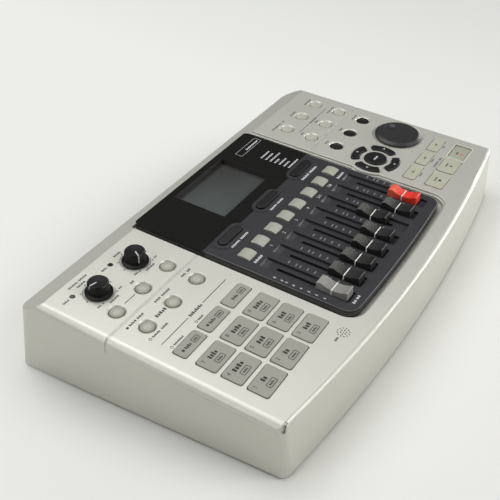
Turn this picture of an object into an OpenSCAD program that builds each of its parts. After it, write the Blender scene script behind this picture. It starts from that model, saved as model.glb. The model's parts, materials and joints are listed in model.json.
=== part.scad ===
/* [Case] */
// Width of the case
body_w = 316; // [312:1:330]
// Length of the flat top from its front corners to its back edge
top_d = 159; // [157:0.5:165]
// Height of the flat top's front corners above the table
front_h = 41; // [38:0.5:50]
// Slope of the flat top, rising to the back
tilt = 5.5; // [4.5:0.1:6.5]
// Bulge of the front face ahead of its corners
front_bow = 11.3; // [8:0.1:14]
// Depth of the strip that falls away behind the flat top
fall_d = 18.5; // [15:0.5:22]
// Drop of that strip
fall_h = 8.5; // [6:0.5:10]
// Lean of the rear face, out at its foot
lean = 14; // [8:0.5:16]
// Wall thickness of the case
wall = 2.5; // [2:0.1:2.8]
// Radius of the rolled side edges of the top
side_round = 5; // [3.5:0.1:6]
// Radius of the upright front corners
front_corner = 6.5; // [4:0.1:7]
// Radius of the upright rear corners
rear_corner = 8; // [5:0.5:10]
// Radius of the front edge of the top
front_round = 3.2; // [2:0.1:4]
// Width of the groove across the top
groove_w = 1.2; // [0.6:0.1:1.5]
// Depth of the groove
groove_t = 0.3; // [0.2:0.1:1]
// Place of the groove between the rhythm keys and the back edge of the top, as a share
groove_at = 0.454; // [0.44:0.002:0.46]
// Step under the left roll at the front, fading to nothing at the groove
side_step = 1; // [0.5:0.1:1.2]
// Width of the crease at the left front corner
crease_w = 0.7; // [0.6:0.1:1.2]
// Depth of the crease
crease_t = 0.8; // [0.6:0.1:1.6]
// Thickness of the bottom cover
bottom_t = 2.5; // [2:0.1:3.5]
// Slit between the bottom cover and the case
bottom_gap = 0.3; // [0.2:0.05:0.6]

/* [Centre panel] */
// Width of the case to the left of the centre panel
left_w = 93.25; // [92.5:0.05:95]
// Width of the case to the right of the centre panel
right_w = 87.05; // [86.5:0.05:88]
// Reach of the panel behind the flat top
panel_over = 4; // [3:0.1:6]
// Height of the panel's rim
panel_t = 5; // [4.6:0.1:6]
// Plate thickness of the panel
panel_plate = 2.5; // [2:0.1:2.8]
// Width of the moat round the panel
moat = 4.6; // [4.4:0.1:5]
// Slit behind the panel
panel_gap = 0.4; // [0.3:0.1:0.8]
// Land between the moat and the front edge of the case
front_land = 11; // [10:0.1:12]
// Front corner radius of the moat
moat_corner = 12; // [9:0.5:13]
// Front corner radius of the panel
panel_corner = 8; // [5:0.5:9]
// Rear corner radius of the moat and the panel
panel_rear_corner = 3; // [2:0.1:4]
// Depth of the ledge in the moat
ledge_t = 1.6; // [1:0.1:2.5]
// Width of the ledge in the moat
ledge_w = 1; // [0.5:0.1:1.2]
// Flange that carries the panel
flange_w = 3; // [2:0.1:4]
// Thickness of that flange
flange_t = 2; // [1.5:0.1:2.5]
// Distance of the seam between fader panel and window behind the front corners
seam_b = 105.6; // [104:0.1:107]
// Thickness of the display window
window_t = 2; // [1.5:0.1:2.4]
// Slit round the window
window_gap = 0.15; // [0.1:0.05:0.3]

/* [Display] */
// Width of the visible display
lcd_w = 58.4; // [50:0.1:60]
// Distance of the display behind the seam
lcd_front = 12.4; // [11:0.1:16]
// Distance of the display from the panel's back edge
lcd_back = 5; // [4.5:0.1:9]
// Offset of the display to the right of the panel's middle
lcd_x = -0.85; // [-4:0.05:6]
// Depth of the glass in the display's frame
lcd_recess = 2.5; // [1:0.1:3]
// Border of the display module round its glass
lcd_border = 1.8; // [1:0.1:2]

/* [Faders] */
// Number of faders
fader_n = 8; // [6:1:8]
// Distance of the first fader from the panel's left edge
lane_l = 12.75; // [12:0.05:14]
// Distance of the last fader from the panel's right edge
lane_r = 10.95; // [10.5:0.05:12]
// Width of a fader's lane
lane_w = 9.8; // [9.4:0.1:10.4]
// Depth of a lane
lane_t = 1.8; // [1.4:0.1:2]
// Floor thickness of a lane
lane_floor = 2; // [1.5:0.1:2.2]
// Distance of the lanes' near end behind the front corners
lane_b0 = 13.4; // [12:0.1:14]
// Distance of the lanes' far end behind the front corners
lane_b1 = 73.7; // [72:0.1:75]
// Width of a fader cap
cap_w = 8.3; // [7.5:0.1:8.6]
// Length of a fader cap
cap_d = 21; // [19:0.1:22]
// Height of a cap's ends above the panel
cap_h = 5; // [4.5:0.1:6]
// Dip of the cap's saddle below its ends
cap_dip = 2.1; // [1.6:0.1:2.4]
// Length of a cap's land behind its ridges
cap_land = 3.3; // [2.5:0.1:4]
// Slope of a cap's front lip
cap_lip = 0.8; // [0.5:0.1:1.2]
// Number of ridges on a cap
ridge_n = 6; // [4:1:6]
// Pitch of the ridges
ridge_pitch = 1.1; // [0.9:0.05:1.1]
// Radius of the grooves between the ridges
ridge_r = 0.28; // [0.2:0.02:0.34]
// Depth of a cap's foot below the panel
cap_sink = 0.6; // [0.3:0.1:0.9]
// Room between a cap and the ends of its lane
cap_gap = 0.9; // [0.5:0.1:1.2]
// Width of a fader stem
stem_w = 1.6; // [1.2:0.1:2]
// Length of a fader stem along its lane
stem_d = 2.4; // [1.6:0.1:3]
// Room round a stem in its slot
stem_gap = 0.4; // [0.3:0.05:0.6]
// Set-back of each cap from the near end of its travel
cap_set = [0.5, 0.5, 0.5, 0.5, 2, 12.6, 1.9, 4.5];

/* [Keys] */
// Room round a key in its hole
key_gap = 0.35; // [0.3:0.05:0.45]
// Overlap of a key's flange under the panel
key_lip = 0.5; // [0.4:0.05:0.6]
// Thickness of a key's flange
key_flange = 1.2; // [0.8:0.1:1.4]
// Rest gap between a key's flange and the panel
key_rest = 0.3; // [0.2:0.05:0.4]
// Travel of a key
key_travel = 1; // [0.6:0.1:1.2]
// Height of a key above the panel
key_h = 0.4; // [0.3:0.1:1]
// Height of the cursor keys above the top
cursor_h = 1.1; // [0.8:0.1:1.5]
// Depth of a round key below the top
round_sink = 0.4; // [0.2:0.05:0.6]
// Dish of a round key's face
round_dish = 0.5; // [0.3:0.05:0.6]
// Depth of the record key below the panel
record_sink = 1.2; // [0.6:0.1:1.3]
// Corner radius of the rectangular keys
key_corner = 1.6; // [1:0.1:2]
// Width of a drum pad
pad_w = 20.8; // [19:0.1:21]
// Depth of a drum pad
pad_d = 12.8; // [11:0.1:13]
// Depth of a rhythm key
rhythm_d = 8.8; // [7.5:0.1:9.5]
// Pitch of the pads across
pad_pitch_x = 23.5; // [23.1:0.1:24]
// Pitch of the pads up the slope
pad_pitch_b = 15.95; // [15.6:0.05:16.2]
// Distance of the first pad column from the left face
pad_in = 23.4; // [23:0.1:25]
// Distance of the first pad row behind the front corners
pad_b = 21.9; // [21:0.1:23]
// Distance of the rhythm keys behind the front corners
rhythm_b = 70.7; // [69.5:0.1:72]
// Diameter of a round key
round_d = 8.9; // [8:0.1:9.5]
// Dished rim round a round key's hole
round_rim = 0.9; // [0.5:0.1:1.2]
// Pitch of the left round keys
round_pitch_l = 24.2; // [23:0.1:24.5]
// Distance of the first left round key from the left face
round_in = 21.8; // [21:0.1:24]
// Places of the left round key rows between the rhythm keys and the back edge, as shares
round_at_l = [0.3126, 0.555];
// Pitch of the right round keys
round_pitch_r = 23; // [22:0.1:23.5]
// Distance of the last right round key from the right face
round_out = 18.2; // [17:0.1:20]
// Places of the right round key rows between the cursor ring and the back edge, as shares
round_at_r = [0.568, 0.791];
// Place of the black round keys between the cursor ring and the back edge, as a share
black_at = 0.34; // [0.33:0.002:0.36]
// Distance of the last black round key from the right face
black_out = 19.7; // [19:0.1:21]
// Pitch of the black round keys
black_pitch = 22.5; // [21:0.1:23]
// Width of a status key
status_w = 9.4; // [9:0.1:10.8]
// Distance of the status keys behind the front corners
status_b = 85.4; // [84:0.1:87]
// Rise of a status key's arch
status_rise = 1; // [0.8:0.1:2]
// Length of a mode key
mode_w = 22.9; // [20:0.1:24]
// Width of a mode key
mode_d = 5.9; // [5:0.1:6.5]
// Distance of the mode keys behind the front corners
mode_b = 103.8; // [103:0.1:104.5]
// Distance of the first mode key from the panel's left edge
mode_l = 22.5; // [21:0.1:25]
// Distance of the last mode key from the panel's right edge
mode_r = 20.6; // [19:0.1:22]
// Width of the raised surround of a mode key
mode_rim = 2.95; // [2.4:0.05:3.2]
// Height of that surround
mode_rim_h = 0.4; // [0.3:0.1:0.7]
// Height of a mode key over the panel
mode_rise = 1.5; // [1:0.1:2]

/* [Transport and cursor] */
// Width of a transport key
move_w = 19.6; // [18:0.1:19.7]
// Depth of a large transport key
move_d = 12.4; // [11:0.1:13]
// Depth of a small transport key
skip_d = 8.3; // [7.5:0.1:9]
// Pitch of the transport keys
move_pitch = 21.9; // [21.8:0.1:22.4]
// Distance of the last transport key from the right face
move_out = 21.7; // [21:0.1:23]
// Distance of the large transport keys behind the front corners
move_b = 17.1; // [16.5:0.1:18]
// Distance of the small transport keys behind the front corners
skip_b = 35.7; // [35:0.1:36.5]
// Outer radius of the cursor ring
cursor_r1 = 17.4; // [17:0.1:17.8]
// Inner radius of the cursor ring
cursor_r0 = 11.8; // [11.2:0.1:12.5]
// Angle that a cursor key spans
cursor_span = 70; // [60:1:76]
// Corner radius of a cursor key
cursor_corner = 1.5; // [0.8:0.1:1.8]
// Radius of the enter key
enter_r = 8; // [7:0.1:8.2]
// Distance of the cursor ring from the right face
cursor_out = 65.2; // [65:0.1:66]
// Distance of the cursor ring and the dial behind the front corners
cursor_b = 65.2; // [64.5:0.1:66]
// Rim of the case round the cursor ring, which bulges into the moat
cursor_rim = 2.7; // [2.5:0.1:2.9]
// Radius of the dial
dial_r = 17.3; // [16:0.1:17.8]
// Height of the dial above the top
dial_h = 2.6; // [2.2:0.1:4]
// Room round the dial in its well
dial_gap = 0.6; // [0.4:0.1:0.9]
// Width of the dial's sloping edge
dial_slope = 2; // [1:0.1:2.5]
// Height of that edge
dial_edge = 1.4; // [0.6:0.1:1.6]
// Width of the sloping rim of the dial's well
dial_rim = 1.4; // [0.8:0.1:2]
// Dish of the dial's face
dial_dish = 0.4; // [0.2:0.1:0.8]
// Distance of the dial from the right face
dial_out = 25.2; // [25:0.1:27]
// Radius of the dial's finger dimple
dimple_r = 4.6; // [3.5:0.1:5.2]
// Depth of the dimple
dimple_t = 1.3; // [0.8:0.1:1.5]
// Distance of the dimple from the dial's middle
dimple_out = 9.6; // [8:0.1:10.5]
// Angle of the dimple, from the right
dimple_turn = 60; // [0:5:355]

/* [Input knobs] */
// Distances of the two knobs from the left face
knob_in = [29.2, 63.3];
// Place of the knobs between the rhythm keys and the back edge, as a share
knob_at = 0.769; // [0.755:0.002:0.775]
// Radius of a knob's skirt
knob_skirt_r = 8.4; // [7.5:0.1:9]
// Height of a knob's skirt
knob_skirt_h = 1.6; // [1:0.1:2.5]
// Radius of a knob's grip
knob_r = 6.4; // [6:0.1:7]
// Height of a knob above the case
knob_h = 8.2; // [7.5:0.1:10]
// Taper of a knob's grip
knob_taper = 0.3; // [0.1:0.1:0.5]
// Dish of a knob's top
knob_dish = 0.3; // [0.1:0.1:0.3]
// Depth of the well round a knob
knob_well = 0.5; // [0.3:0.1:0.8]
// Room round a knob in its well
knob_room = 0.5; // [0.4:0.1:0.6]
// Width of the sloping rim of a knob's well
knob_rim = 0.9; // [0.5:0.1:1.2]
// Number of flutes round a knob
flute_n = 30; // [24:1:32]
// Diameter of a flute
flute_d = 1.1; // [0.9:0.1:1.2]
// Height of the flutes above the skirt
flute_up = 0.3; // [0.2:0.1:0.6]
// Width of a knob's pointer
pointer_w = 0.9; // [0.6:0.1:1.2]
// Depth of a knob's pointer
pointer_t = 0.4; // [0.2:0.1:0.6]
// Rounding of a knob's top edge
knob_edge = 0.8; // [0.5:0.1:1.2]
// Angles at which the two knobs stand, from twelve o'clock to the left
knob_turn = [76, 150];
// Running gap under a knob or the dial
spin_gap = 0.4; // [0.3:0.1:0.8]
// Diameter of a shaft
shaft_d = 4; // [3:0.1:5]
// Room round a shaft in its hole
shaft_gap = 0.4; // [0.3:0.05:0.6]
// Diameter of a peak lamp
lamp_d = 3.3; // [2.8:0.1:4]
// Room round a peak lamp
lamp_gap = 0.25; // [0.2:0.05:0.4]
// Distance of a peak lamp to the left of its knob
lamp_dx = 11.4; // [11:0.1:12]
// Distance of a peak lamp behind its knob
lamp_db = 10.1; // [9.5:0.1:11]

/* [Microphone] */
// Distance of the microphone from the left face
mic_in = 77.6; // [76:0.1:79]
// Distance of the microphone behind the front corners
mic_b = 5; // [4.5:0.1:6]
// Diameter of a microphone hole
mic_hole = 0.9; // [0.6:0.1:1.1]
// Pitch of the microphone holes
mic_pitch = 1.75; // [1.5:0.05:2]
// Diameter of the microphone capsule
mic_d = 6; // [5:0.1:7]
// Length of the microphone capsule
mic_l = 3.4; // [2.5:0.1:4.5]

/* [Boards] */
// Depth of the panel board's face below the top
board_drop = 11.5; // [11:0.1:13]
// Thickness of the boards
board_t = 1.6; // [1:0.1:2]
// Distance of the panel board from the side walls
board_side = 9; // [8.8:0.1:10]
// Distance of the panel board's front edge behind the front corners
board_b0 = 4.5; // [4:0.1:5]
// Distance of the panel board from the back edge of the top
board_back = 4; // [3:0.5:9]
// Diameter of a post
post_d = 5; // [4.5:0.1:5.2]
// Distance of a post from the keys beside it
post_room = 2; // [1.5:0.1:2.5]
// Distance of the main board up the rear face
main_s = 20; // [18.5:0.1:22]
// Depth of the main board
main_d = 45; // [42:0.5:50]
// Set-in of the main board from the panel board's ends
main_in = 4; // [3:0.5:8]
// Set-in of the main board's posts from the panel board's ends
stand_in = 12; // [9:0.5:16]
// Distances of these posts from the main board's rear and front edges
stand_t = [8, 6];
// Slit between the main board and the rear wall
main_gap = 1.5; // [1:0.1:3]
// Width of a key switch
switch_w = 6; // [5:0.1:6.2]
// Height of a key switch's body
switch_h = 3.5; // [3:0.1:4]
// Width of an input potentiometer
pot_w = 10; // [9:0.1:12]
// Width of the dial's encoder
encoder_w = 12; // [11:0.1:14]
// Height of the potentiometers and the encoder
pot_h = 5; // [4:0.1:6]
// Wall of their collars
collar_wall = 1.5; // [1:0.1:2]
// Length of a slide potentiometer beyond its slot
slide_end = 6; // [4:0.1:7]
// Diameter of a key switch's plunger
plunger_d = 3.2; // [2.4:0.1:3.5]
// Room between a pressed key and its switch
switch_gap = 0.3; // [0.2:0.05:0.5]

/* [Sockets] */
// Bore of the phone jacks
jack_bore = 6.35; // [6.3:0.05:6.5]
// Width of a phone jack
jack_w = 15; // [13:0.1:16]
// Length of a phone jack behind the rear wall
jack_l = 22; // [18:0.5:26]
// Height of a phone jack's axis above the main board
jack_up = 6; // [5.5:0.1:7]
// Diameter of a phone jack's collar
jack_collar = 11; // [9.5:0.1:12]
// Places of the phone jacks, as shares of the width from the left
jack_at = [0.1392, 0.2215, 0.3354];
// Outer diameter of a line socket
line_d = 8.2; // [7.5:0.1:9]
// Width of a line socket
line_w = 10; // [9:0.1:12]
// Length of a line socket behind the rear wall
line_l = 12; // [10:0.5:15]
// Length of a line socket proud of the rear wall
line_proud = 5.5; // [4:0.1:6]
// Bore of a line socket
line_bore = 3.4; // [3:0.1:3.6]
// Places of the line sockets, as shares of the width from the left
line_at = [0.4367, 0.4937];
// Bore of the headphone jack
mini_bore = 3.6; // [3.5:0.05:3.8]
// Width of the headphone jack
mini_w = 9; // [7:0.1:10]
// Length of the headphone jack behind the rear wall
mini_l = 14; // [12:0.5:16]
// Height of the headphone jack's axis above the main board
mini_up = 4; // [3.5:0.1:5]
// Diameter of the headphone jack's collar
mini_collar = 6.4; // [6:0.1:7]
// Place of the headphone jack, as a share of the width from the left
mini_at = 0.576; // [0.565:0.005:0.6]
// Bore of the power inlet
inlet_bore = 5.6; // [5.5:0.1:6.5]
// Width of the power inlet
inlet_w = 11; // [10:0.1:12]
// Length of the power inlet behind the rear wall
inlet_l = 13; // [11:0.5:15]
// Height of the power inlet's axis above the main board
inlet_up = 5.5; // [5:0.1:6.5]
// Diameter of the power inlet's pin
inlet_pin = 2; // [1.5:0.1:2.5]
// Depth of the pin behind the rear face
pin_back = 1; // [0.5:0.1:2]
// Diameter of the power inlet's collar
inlet_collar = 9; // [8.5:0.1:10]
// Place of the power inlet, as a share of the width from the left
inlet_at = 0.842; // [0.832:0.005:0.852]
// Place of the card slot, as a share of the width from the left
card_at = 0.709; // [0.68:0.005:0.724]
// Width of the card slot
card_w = 25; // [24.5:0.1:28]
// Height of the card slot
card_h = 3; // [2.6:0.1:4]
// Height of the card slot's middle above the main board
card_up = 2.5; // [2.2:0.1:4]
// Length of the card socket
card_l = 28; // [24:0.5:32]
// Wall of the card socket
card_wall = 0.6; // [0.4:0.1:1]
// Place of the power switch, as a share of the width from the left
switch_at = 0.924; // [0.914:0.002:0.93]
// Width of the power switch's button
button_w = 6; // [4:0.1:7]
// Height of the power switch's button
button_h = 3.8; // [3:0.1:4.4]
// Height of the power switch's middle above the main board
button_up = 4; // [4:0.1:5]
// Length of the power switch's shoe
shoe_l = 7; // [5:0.1:9]
// Length of the button proud of the rear wall
button_out = 2; // [1:0.1:3]
// Travel of the power switch
switch_travel = 3; // [2:0.1:4]
// Room round a socket in the rear wall
socket_gap = 0.3; // [0.2:0.05:0.5]

/* [Battery bay] */
// Number of cells
cell_n = 4; // [2:1:4]
// Diameter of a cell
cell_d = 14.5; // [14.5:0.1:15]
// Length of a cell
cell_l = 50.5; // [50.5:0.1:52]
// Room for each cell
cell_room = 0.6; // [0.4:0.1:1]
// Room for the contacts at each end of the cells
bay_end = 4; // [3.5:0.1:5]
// Wall of the bay
bay_wall = 1.6; // [1.2:0.1:2.5]
// Distance of the bay's middle from the left face
bay_in = 82; // [76:1:90]
// Distance of the bay's middle behind the front corners
bay_y = 50; // [46:1:60]
// Overlap of the battery cover round the bay
cover_lip = 4; // [3:0.5:6]
// Thickness of the battery cover
cover_t = 1.5; // [1.2:0.1:1.8]
// Room round the battery cover
cover_gap = 0.3; // [0.2:0.05:0.5]
// Corner radius of the battery cover
cover_corner = 2; // [1:0.5:4]
// Length of a cell's spring
spring_l = 3; // [2:0.1:3.5]

/* [Feet and screws] */
// Height of the gap under the case
foot_h = 1.5; // [1:0.1:3]
// Diameter of a rubber foot
foot_d = 14; // [10:0.5:16]
// Depth of a foot's seat
foot_seat = 0.8; // [0.5:0.1:1.2]
// Distance of the feet from the side faces
foot_in = 22; // [20:1:24]
// Diameter of a screw's shank
screw_d = 2.4; // [2:0.1:3]
// Length of a screw
screw_l = 8; // [6:0.5:9]
// Room beyond the tip of a screw
screw_tip = 1; // [0.5:0.1:1.5]
// Diameter of a screw's head
head_d = 4.8; // [4:0.1:5]
// Height of a screw's head
head_t = 1.4; // [1:0.1:1.8]
// Room round a screw's shank
screw_gap = 0.1; // [0.05:0.05:0.3]
// Diameter of a case boss
boss_d = 7; // [6.5:0.1:8]
// Depth of a boss in the side wall
boss_sink = 0.5; // [0.2:0.1:1]
// Distances of the case screws behind the front corners
boss_y = [18, 84, 155];

/* [Hidden] */
$fn = 48;
far = 400;
eps = 0.05;
hair = 0.03;
half_w = body_w / 2;
bow_r = (half_w * half_w + front_bow * front_bow) / (2 * front_bow);
fall_a = atan(fall_h / fall_d);
top_back_z = front_h + top_d * sin(tilt);
fall_z = top_back_z - fall_h;
rear_out = (fall_z - foot_h) * tan(lean);
top_run = top_d * cos(tilt);
body_d = front_bow + top_run + fall_d + rear_out;
front_y = front_bow - body_d / 2;
rear_y = body_d / 2;
bottom_z = foot_h + bottom_t;
panel_x0 = left_w - half_w;
panel_x1 = half_w - right_w;
panel_w = panel_x1 - panel_x0;
panel_x = (panel_x0 + panel_x1) / 2;
panel_b = top_d + panel_over;
lcd_d = panel_b - lcd_back - seam_b - lcd_front;
lcd_b = seam_b + lcd_front + lcd_d / 2;
well_t = panel_t + flange_t;
well_wall = 1.5;
hole_grow = 2 * key_gap;
flange_grow = 2 * (key_gap + key_lip);
flange_n = -wall - key_rest;
panel_flange_n = -panel_plate - key_rest;
press_n = -max(wall, panel_plate) - key_rest - key_flange - key_travel - switch_gap;
left_run = top_d - rhythm_b;
right_run = top_d - cursor_b;
groove_b = rhythm_b + groove_at * left_run;
knob_b = rhythm_b + knob_at * left_run;
round_b_l = [for (t = round_at_l) rhythm_b + t * left_run];
round_b_r = [for (t = round_at_r) cursor_b + t * right_run];
black_b = cursor_b + black_at * right_run;
pad_x = [for (i = [0 : 2]) pad_in - half_w + i * pad_pitch_x];
round_x_l = [for (i = [0 : 2]) round_in - half_w + i * round_pitch_l];
round_x_r = [for (i = [2 : -1 : 0]) half_w - round_out - i * round_pitch_r];
black_x = [for (i = [2 : -1 : 0]) half_w - black_out - i * black_pitch];
fader_pitch = (panel_w - lane_l - lane_r) / (fader_n - 1);
lane_x = [for (i = [0 : fader_n - 1]) panel_x0 + lane_l + i * fader_pitch];
mode_pitch = (panel_w - mode_l - mode_r) / 2;
mode_xs = [for (i = [0 : 2]) panel_x0 + mode_l + i * mode_pitch];
move_x = [for (i = [2 : -1 : 0]) half_w - move_out - i * move_pitch];
cursor_x = half_w - cursor_out;
dial_x = half_w - dial_out;
knob_x = [for (d = knob_in) d - half_w];
function across(share) = (share - 0.5) * body_w;
jack_x = [for (t = jack_at) across(t)];
line_x = [for (t = line_at) across(t)];
mini_x = across(mini_at);
inlet_x = across(inlet_at);
card_x = across(card_at);
switch_x = across(switch_at);
mic_x = mic_in - half_w;
cap_b0 = lane_b0 + cap_gap + cap_d / 2;
cap_travel = lane_b1 - lane_b0 - cap_d - 2 * cap_gap;
board_x = half_w - wall - board_side;
board_b1 = top_d - board_back;
pot_floor = -board_drop + board_t;
shaft_n = pot_floor + spin_gap;
post_at = [[round_x_l[0] + round_pitch_l / 2, (round_b_l[0] + round_b_l[1]) / 2],
           [pad_x[0] + pad_pitch_x / 2, pad_b - pad_d / 2 - key_gap - key_lip - post_d / 2 - post_room],
           [(knob_x[0] + knob_x[1]) / 2, knob_b - knob_r],
           [round_x_r[1] - round_pitch_r / 2, (black_b + round_b_r[0]) / 2],
           [round_x_r[1] + round_pitch_r / 2, (black_b + round_b_r[0]) / 2]];
boss_x = half_w - wall - boss_d / 2 + boss_sink;
bay_w = cell_n * (cell_d + cell_room) + cell_room;
bay_l = cell_l + 2 * bay_end;
bay_h = cell_d + cell_room;
bay_x = bay_in - half_w;
bay_mid = front_y + bay_y;
cover_w = bay_w + 2 * cover_lip;
cover_l = bay_l + 2 * cover_lip;
notch_d = cover_lip;
foot_top = foot_h + foot_seat;
socket_s = main_s + board_t;

// Colours, as the object shows them
silver_c = [0.83, 0.83, 0.8];
dark_c = [0.24, 0.24, 0.25];
black_c = [0.1, 0.1, 0.1];
rubber_c = [0.6, 0.6, 0.56];
clear_c = [0.72, 0.72, 0.66];
red_c = [0.9, 0.3, 0.25];
board_c = [0.12, 0.4, 0.25];
metal_c = [0.75, 0.75, 0.76];

// Frame of the sloping top: x across, y up the slope from the front corners, z out of it
module on_top() {
    translate([0, front_y, front_h]) rotate([tilt, 0, 0]) children();
}

// Frame of the leaning rear face: x across, y out of it, z up it from its foot
module on_rear() {
    translate([0, rear_y, foot_h]) rotate([lean, 0, 0]) children();
}

// Flat block from height n0 to n1 over a drawn outline
module slab(n0, n1) {
    translate([0, 0, n0]) linear_extrude(n1 - n0) children();
}

// Rectangle with round corners, about its middle
module rounded(w, d, r) {
    square([w - 2 * r, d], center = true);
    square([w, d - 2 * r], center = true);
    for (sx = [-1, 1], sy = [-1, 1]) translate([sx * (w / 2 - r), sy * (d / 2 - r)]) circle(r);
}

// Bar with half-round ends, about its middle
module capsule(w, d) {
    square([w - d, d], center = true);
    for (s = [-1, 1]) translate([s * (w - d) / 2, 0]) circle(d = d);
}

// Outline with a bowed front of radius r about (0, c), straight sides and round corners that cross the bow by a hair
module bowed(x0, x1, b1, r, c, front_r, rear_r) {
    xs = [x0 + front_r, x1 - front_r];
    ys = [for (x = xs) c - sqrt(pow(r - front_r, 2) - x * x) - hair];
    touch = [for (x = xs) x * r / (r - front_r)];
    side = max(ys);
    intersection() {
        translate([0, c]) circle(r, $fn = 360);
        translate([touch[0], side - far]) square([touch[1] - touch[0], far + b1 - rear_r - side]);
    }
    translate([x0, side]) square([x1 - x0, b1 - rear_r - side]);
    translate([x0 + rear_r, side]) square([x1 - x0 - 2 * rear_r, b1 - side]);
    for (i = [0, 1]) {
        translate([min(xs[i], [x0, x1][i]), ys[i]]) square([front_r, side - ys[i] + eps]);
        translate([xs[i], ys[i]]) circle(front_r);
        translate([[x0 + rear_r, x1 - rear_r][i], b1 - rear_r]) circle(rear_r);
    }
}

// Form of the case, drawn in by g on every face but the foot, which lies at height z0
module case_form(g, z0) {
    intersection() {
        slab(z0, far / 2)
            bowed(g - half_w, half_w - g, far / 2, bow_r - g, front_y - front_bow + bow_r,
                max(front_corner - g, 0.5), 0.5);
        on_top() translate([0, far / 2, 0]) rotate([90, 0, 0]) slab(0, far) {
            r = max(side_round - g, 0.5);
            translate([-half_w + g, -far]) square([body_w - 2 * g, far - g - r]);
            translate([-half_w + g + r, -far]) square([body_w - 2 * (g + r), far - g]);
            for (s = [-1, 1]) translate([s * (half_w - g - r), -g - r]) circle(r);
        }
        translate([0, front_y + top_run, top_back_z]) rotate([-fall_a, 0, 0])
            translate([-far, -far, -far - g]) cube([2 * far, 2 * far, far]);
        on_rear() slab(-far / 4, far / 2) {
            r = max(rear_corner - g, 0.5);
            translate([-half_w + g, -far]) square([body_w - 2 * g, far - g - r]);
            translate([-half_w + g + r, -far]) square([body_w - 2 * (g + r), far - g]);
            for (s = [-1, 1]) translate([s * (half_w - g - r), -g - r]) circle(r);
        }
    }
}

// Outline of the moat round the centre panel, drawn in by g
module moat_outline(g) {
    difference() {
        bowed(panel_x0 - moat + g, panel_x1 + moat - g, panel_b + panel_gap - min(g, 0),
            bow_r - front_land - g, bow_r - front_bow, moat_corner - g, panel_rear_corner);
        translate([cursor_x, cursor_b]) circle(cursor_r1 + cursor_rim + g);
    }
}

// Outline of the centre panel, drawn in by g
module panel_outline(g) {
    bowed(panel_x0 + g, panel_x1 - g, panel_b - g, bow_r - front_land - moat - g, bow_r - front_bow,
        max(panel_corner - g, 0.5), max(panel_rear_corner - g, 0.5));
}

// Part of the panel in front of the seam, grown by g, with the surrounds of the mode keys
module fader_area(g) {
    rim = mode_d / 2 + key_gap + mode_rim + g;
    translate([panel_x - panel_w, -far]) square([2 * panel_w, far + seam_b + g]);
    for (x = mode_xs) translate([x, mode_b]) capsule(mode_w + 2 * (key_gap + mode_rim + g), 2 * rim);
    translate([panel_x - panel_w, 0]) square([panel_w - panel_x + mode_xs[0], mode_b + rim]);
    translate([mode_xs[2], 0]) square([panel_w, mode_b + rim]);
}

// Outlines of the keys, grown by g, about their own middles
module pad_outline(g) { rounded(pad_w + g, pad_d + g, key_corner); }
module rhythm_outline(g) { rounded(pad_w + g, rhythm_d + g, key_corner); }
module move_outline(g) { rounded(move_w + g, move_d + g, key_corner); }
module skip_outline(g) { rounded(move_w + g, skip_d + g, key_corner); }
module status_outline(g) { rounded(status_w + g, status_w + g, key_corner / 2); }
module mode_outline(g) { capsule(mode_w + g, mode_d + g); }

// Part of a ring between two radii, its ends set in by e from the edges of a cursor key's sector
module ring_part(r0, r1, e) {
    a = cursor_span / 2;
    difference() {
        intersection() {
            circle(r1, $fn = 96);
            rotate(a) translate([0, -e - far]) square([far, far]);
            rotate(-a) translate([0, e]) square([far, far]);
            translate([0, -far / 2]) square([far, far]);
        }
        circle(r0, $fn = 96);
    }
}

// Sector of the cursor ring for one key, with round corners, grown by g
module cursor_outline(g) {
    r0 = cursor_r0 - g / 2;
    r1 = cursor_r1 + g / 2;
    c = cursor_corner;
    inset = c - g / 2;
    ring_part(r0, r1, 0.85 * c - g / 2);
    ring_part(r0 + 0.9 * c, r1 - c, -g / 2);
    for (s = [-1, 1], r = [r0 + c, r1 - c]) rotate(s * cursor_span / 2)
        translate([sqrt(r * r - inset * inset), -s * inset]) circle(c);
}

// Places on the top of every key that shows in the case
module at_pads() { for (i = [0 : 2], j = [0 : 2]) translate([pad_x[i], pad_b + j * pad_pitch_b]) children(); }
module at_rhythm() { for (x = pad_x) translate([x, rhythm_b]) children(); }
module at_round_left() { for (x = round_x_l, b = round_b_l) translate([x, b]) children(); }
module at_round_right() { for (x = round_x_r, b = round_b_r) translate([x, b]) children(); }
module at_black() { for (x = black_x) translate([x, black_b]) children(); }
module at_move() { for (x = move_x) translate([x, move_b]) children(); }
module at_skip() { for (x = move_x) translate([x, skip_b]) children(); }
module at_cursor() { for (k = [0 : 3]) translate([cursor_x, cursor_b]) rotate(90 * k) children(); }
module at_status() { for (x = lane_x) translate([x, status_b]) children(); }
module at_mode() { for (x = mode_xs) translate([x, mode_b]) children(); }

// Holes of the microphone: a middle hole and two rings
module mic_holes() {
    for (k = [0 : 2], i = [0 : max(6 * k - 1, 0)])
        rotate(i * 60 / max(k, 1)) translate([k * mic_pitch, 0]) circle(d = mic_hole, $fn = 16);
}

// All straight holes in the top
module top_holes() {
    at_pads() pad_outline(hole_grow);
    at_rhythm() rhythm_outline(hole_grow);
    at_round_left() circle(d = round_d + hole_grow);
    at_round_right() circle(d = round_d + hole_grow);
    at_black() circle(d = round_d + hole_grow);
    at_move() move_outline(hole_grow);
    at_skip() skip_outline(hole_grow);
    at_cursor() cursor_outline(hole_grow);
    translate([cursor_x, cursor_b]) circle(enter_r + key_gap);
    translate([dial_x, cursor_b]) circle(d = shaft_d + 2 * shaft_gap);
    for (x = knob_x) {
        translate([x, knob_b]) circle(d = shaft_d + 2 * shaft_gap);
        translate([x - lamp_dx, knob_b + lamp_db]) circle(d = lamp_d);
    }
    translate([mic_x, mic_b]) mic_holes();
}

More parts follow.
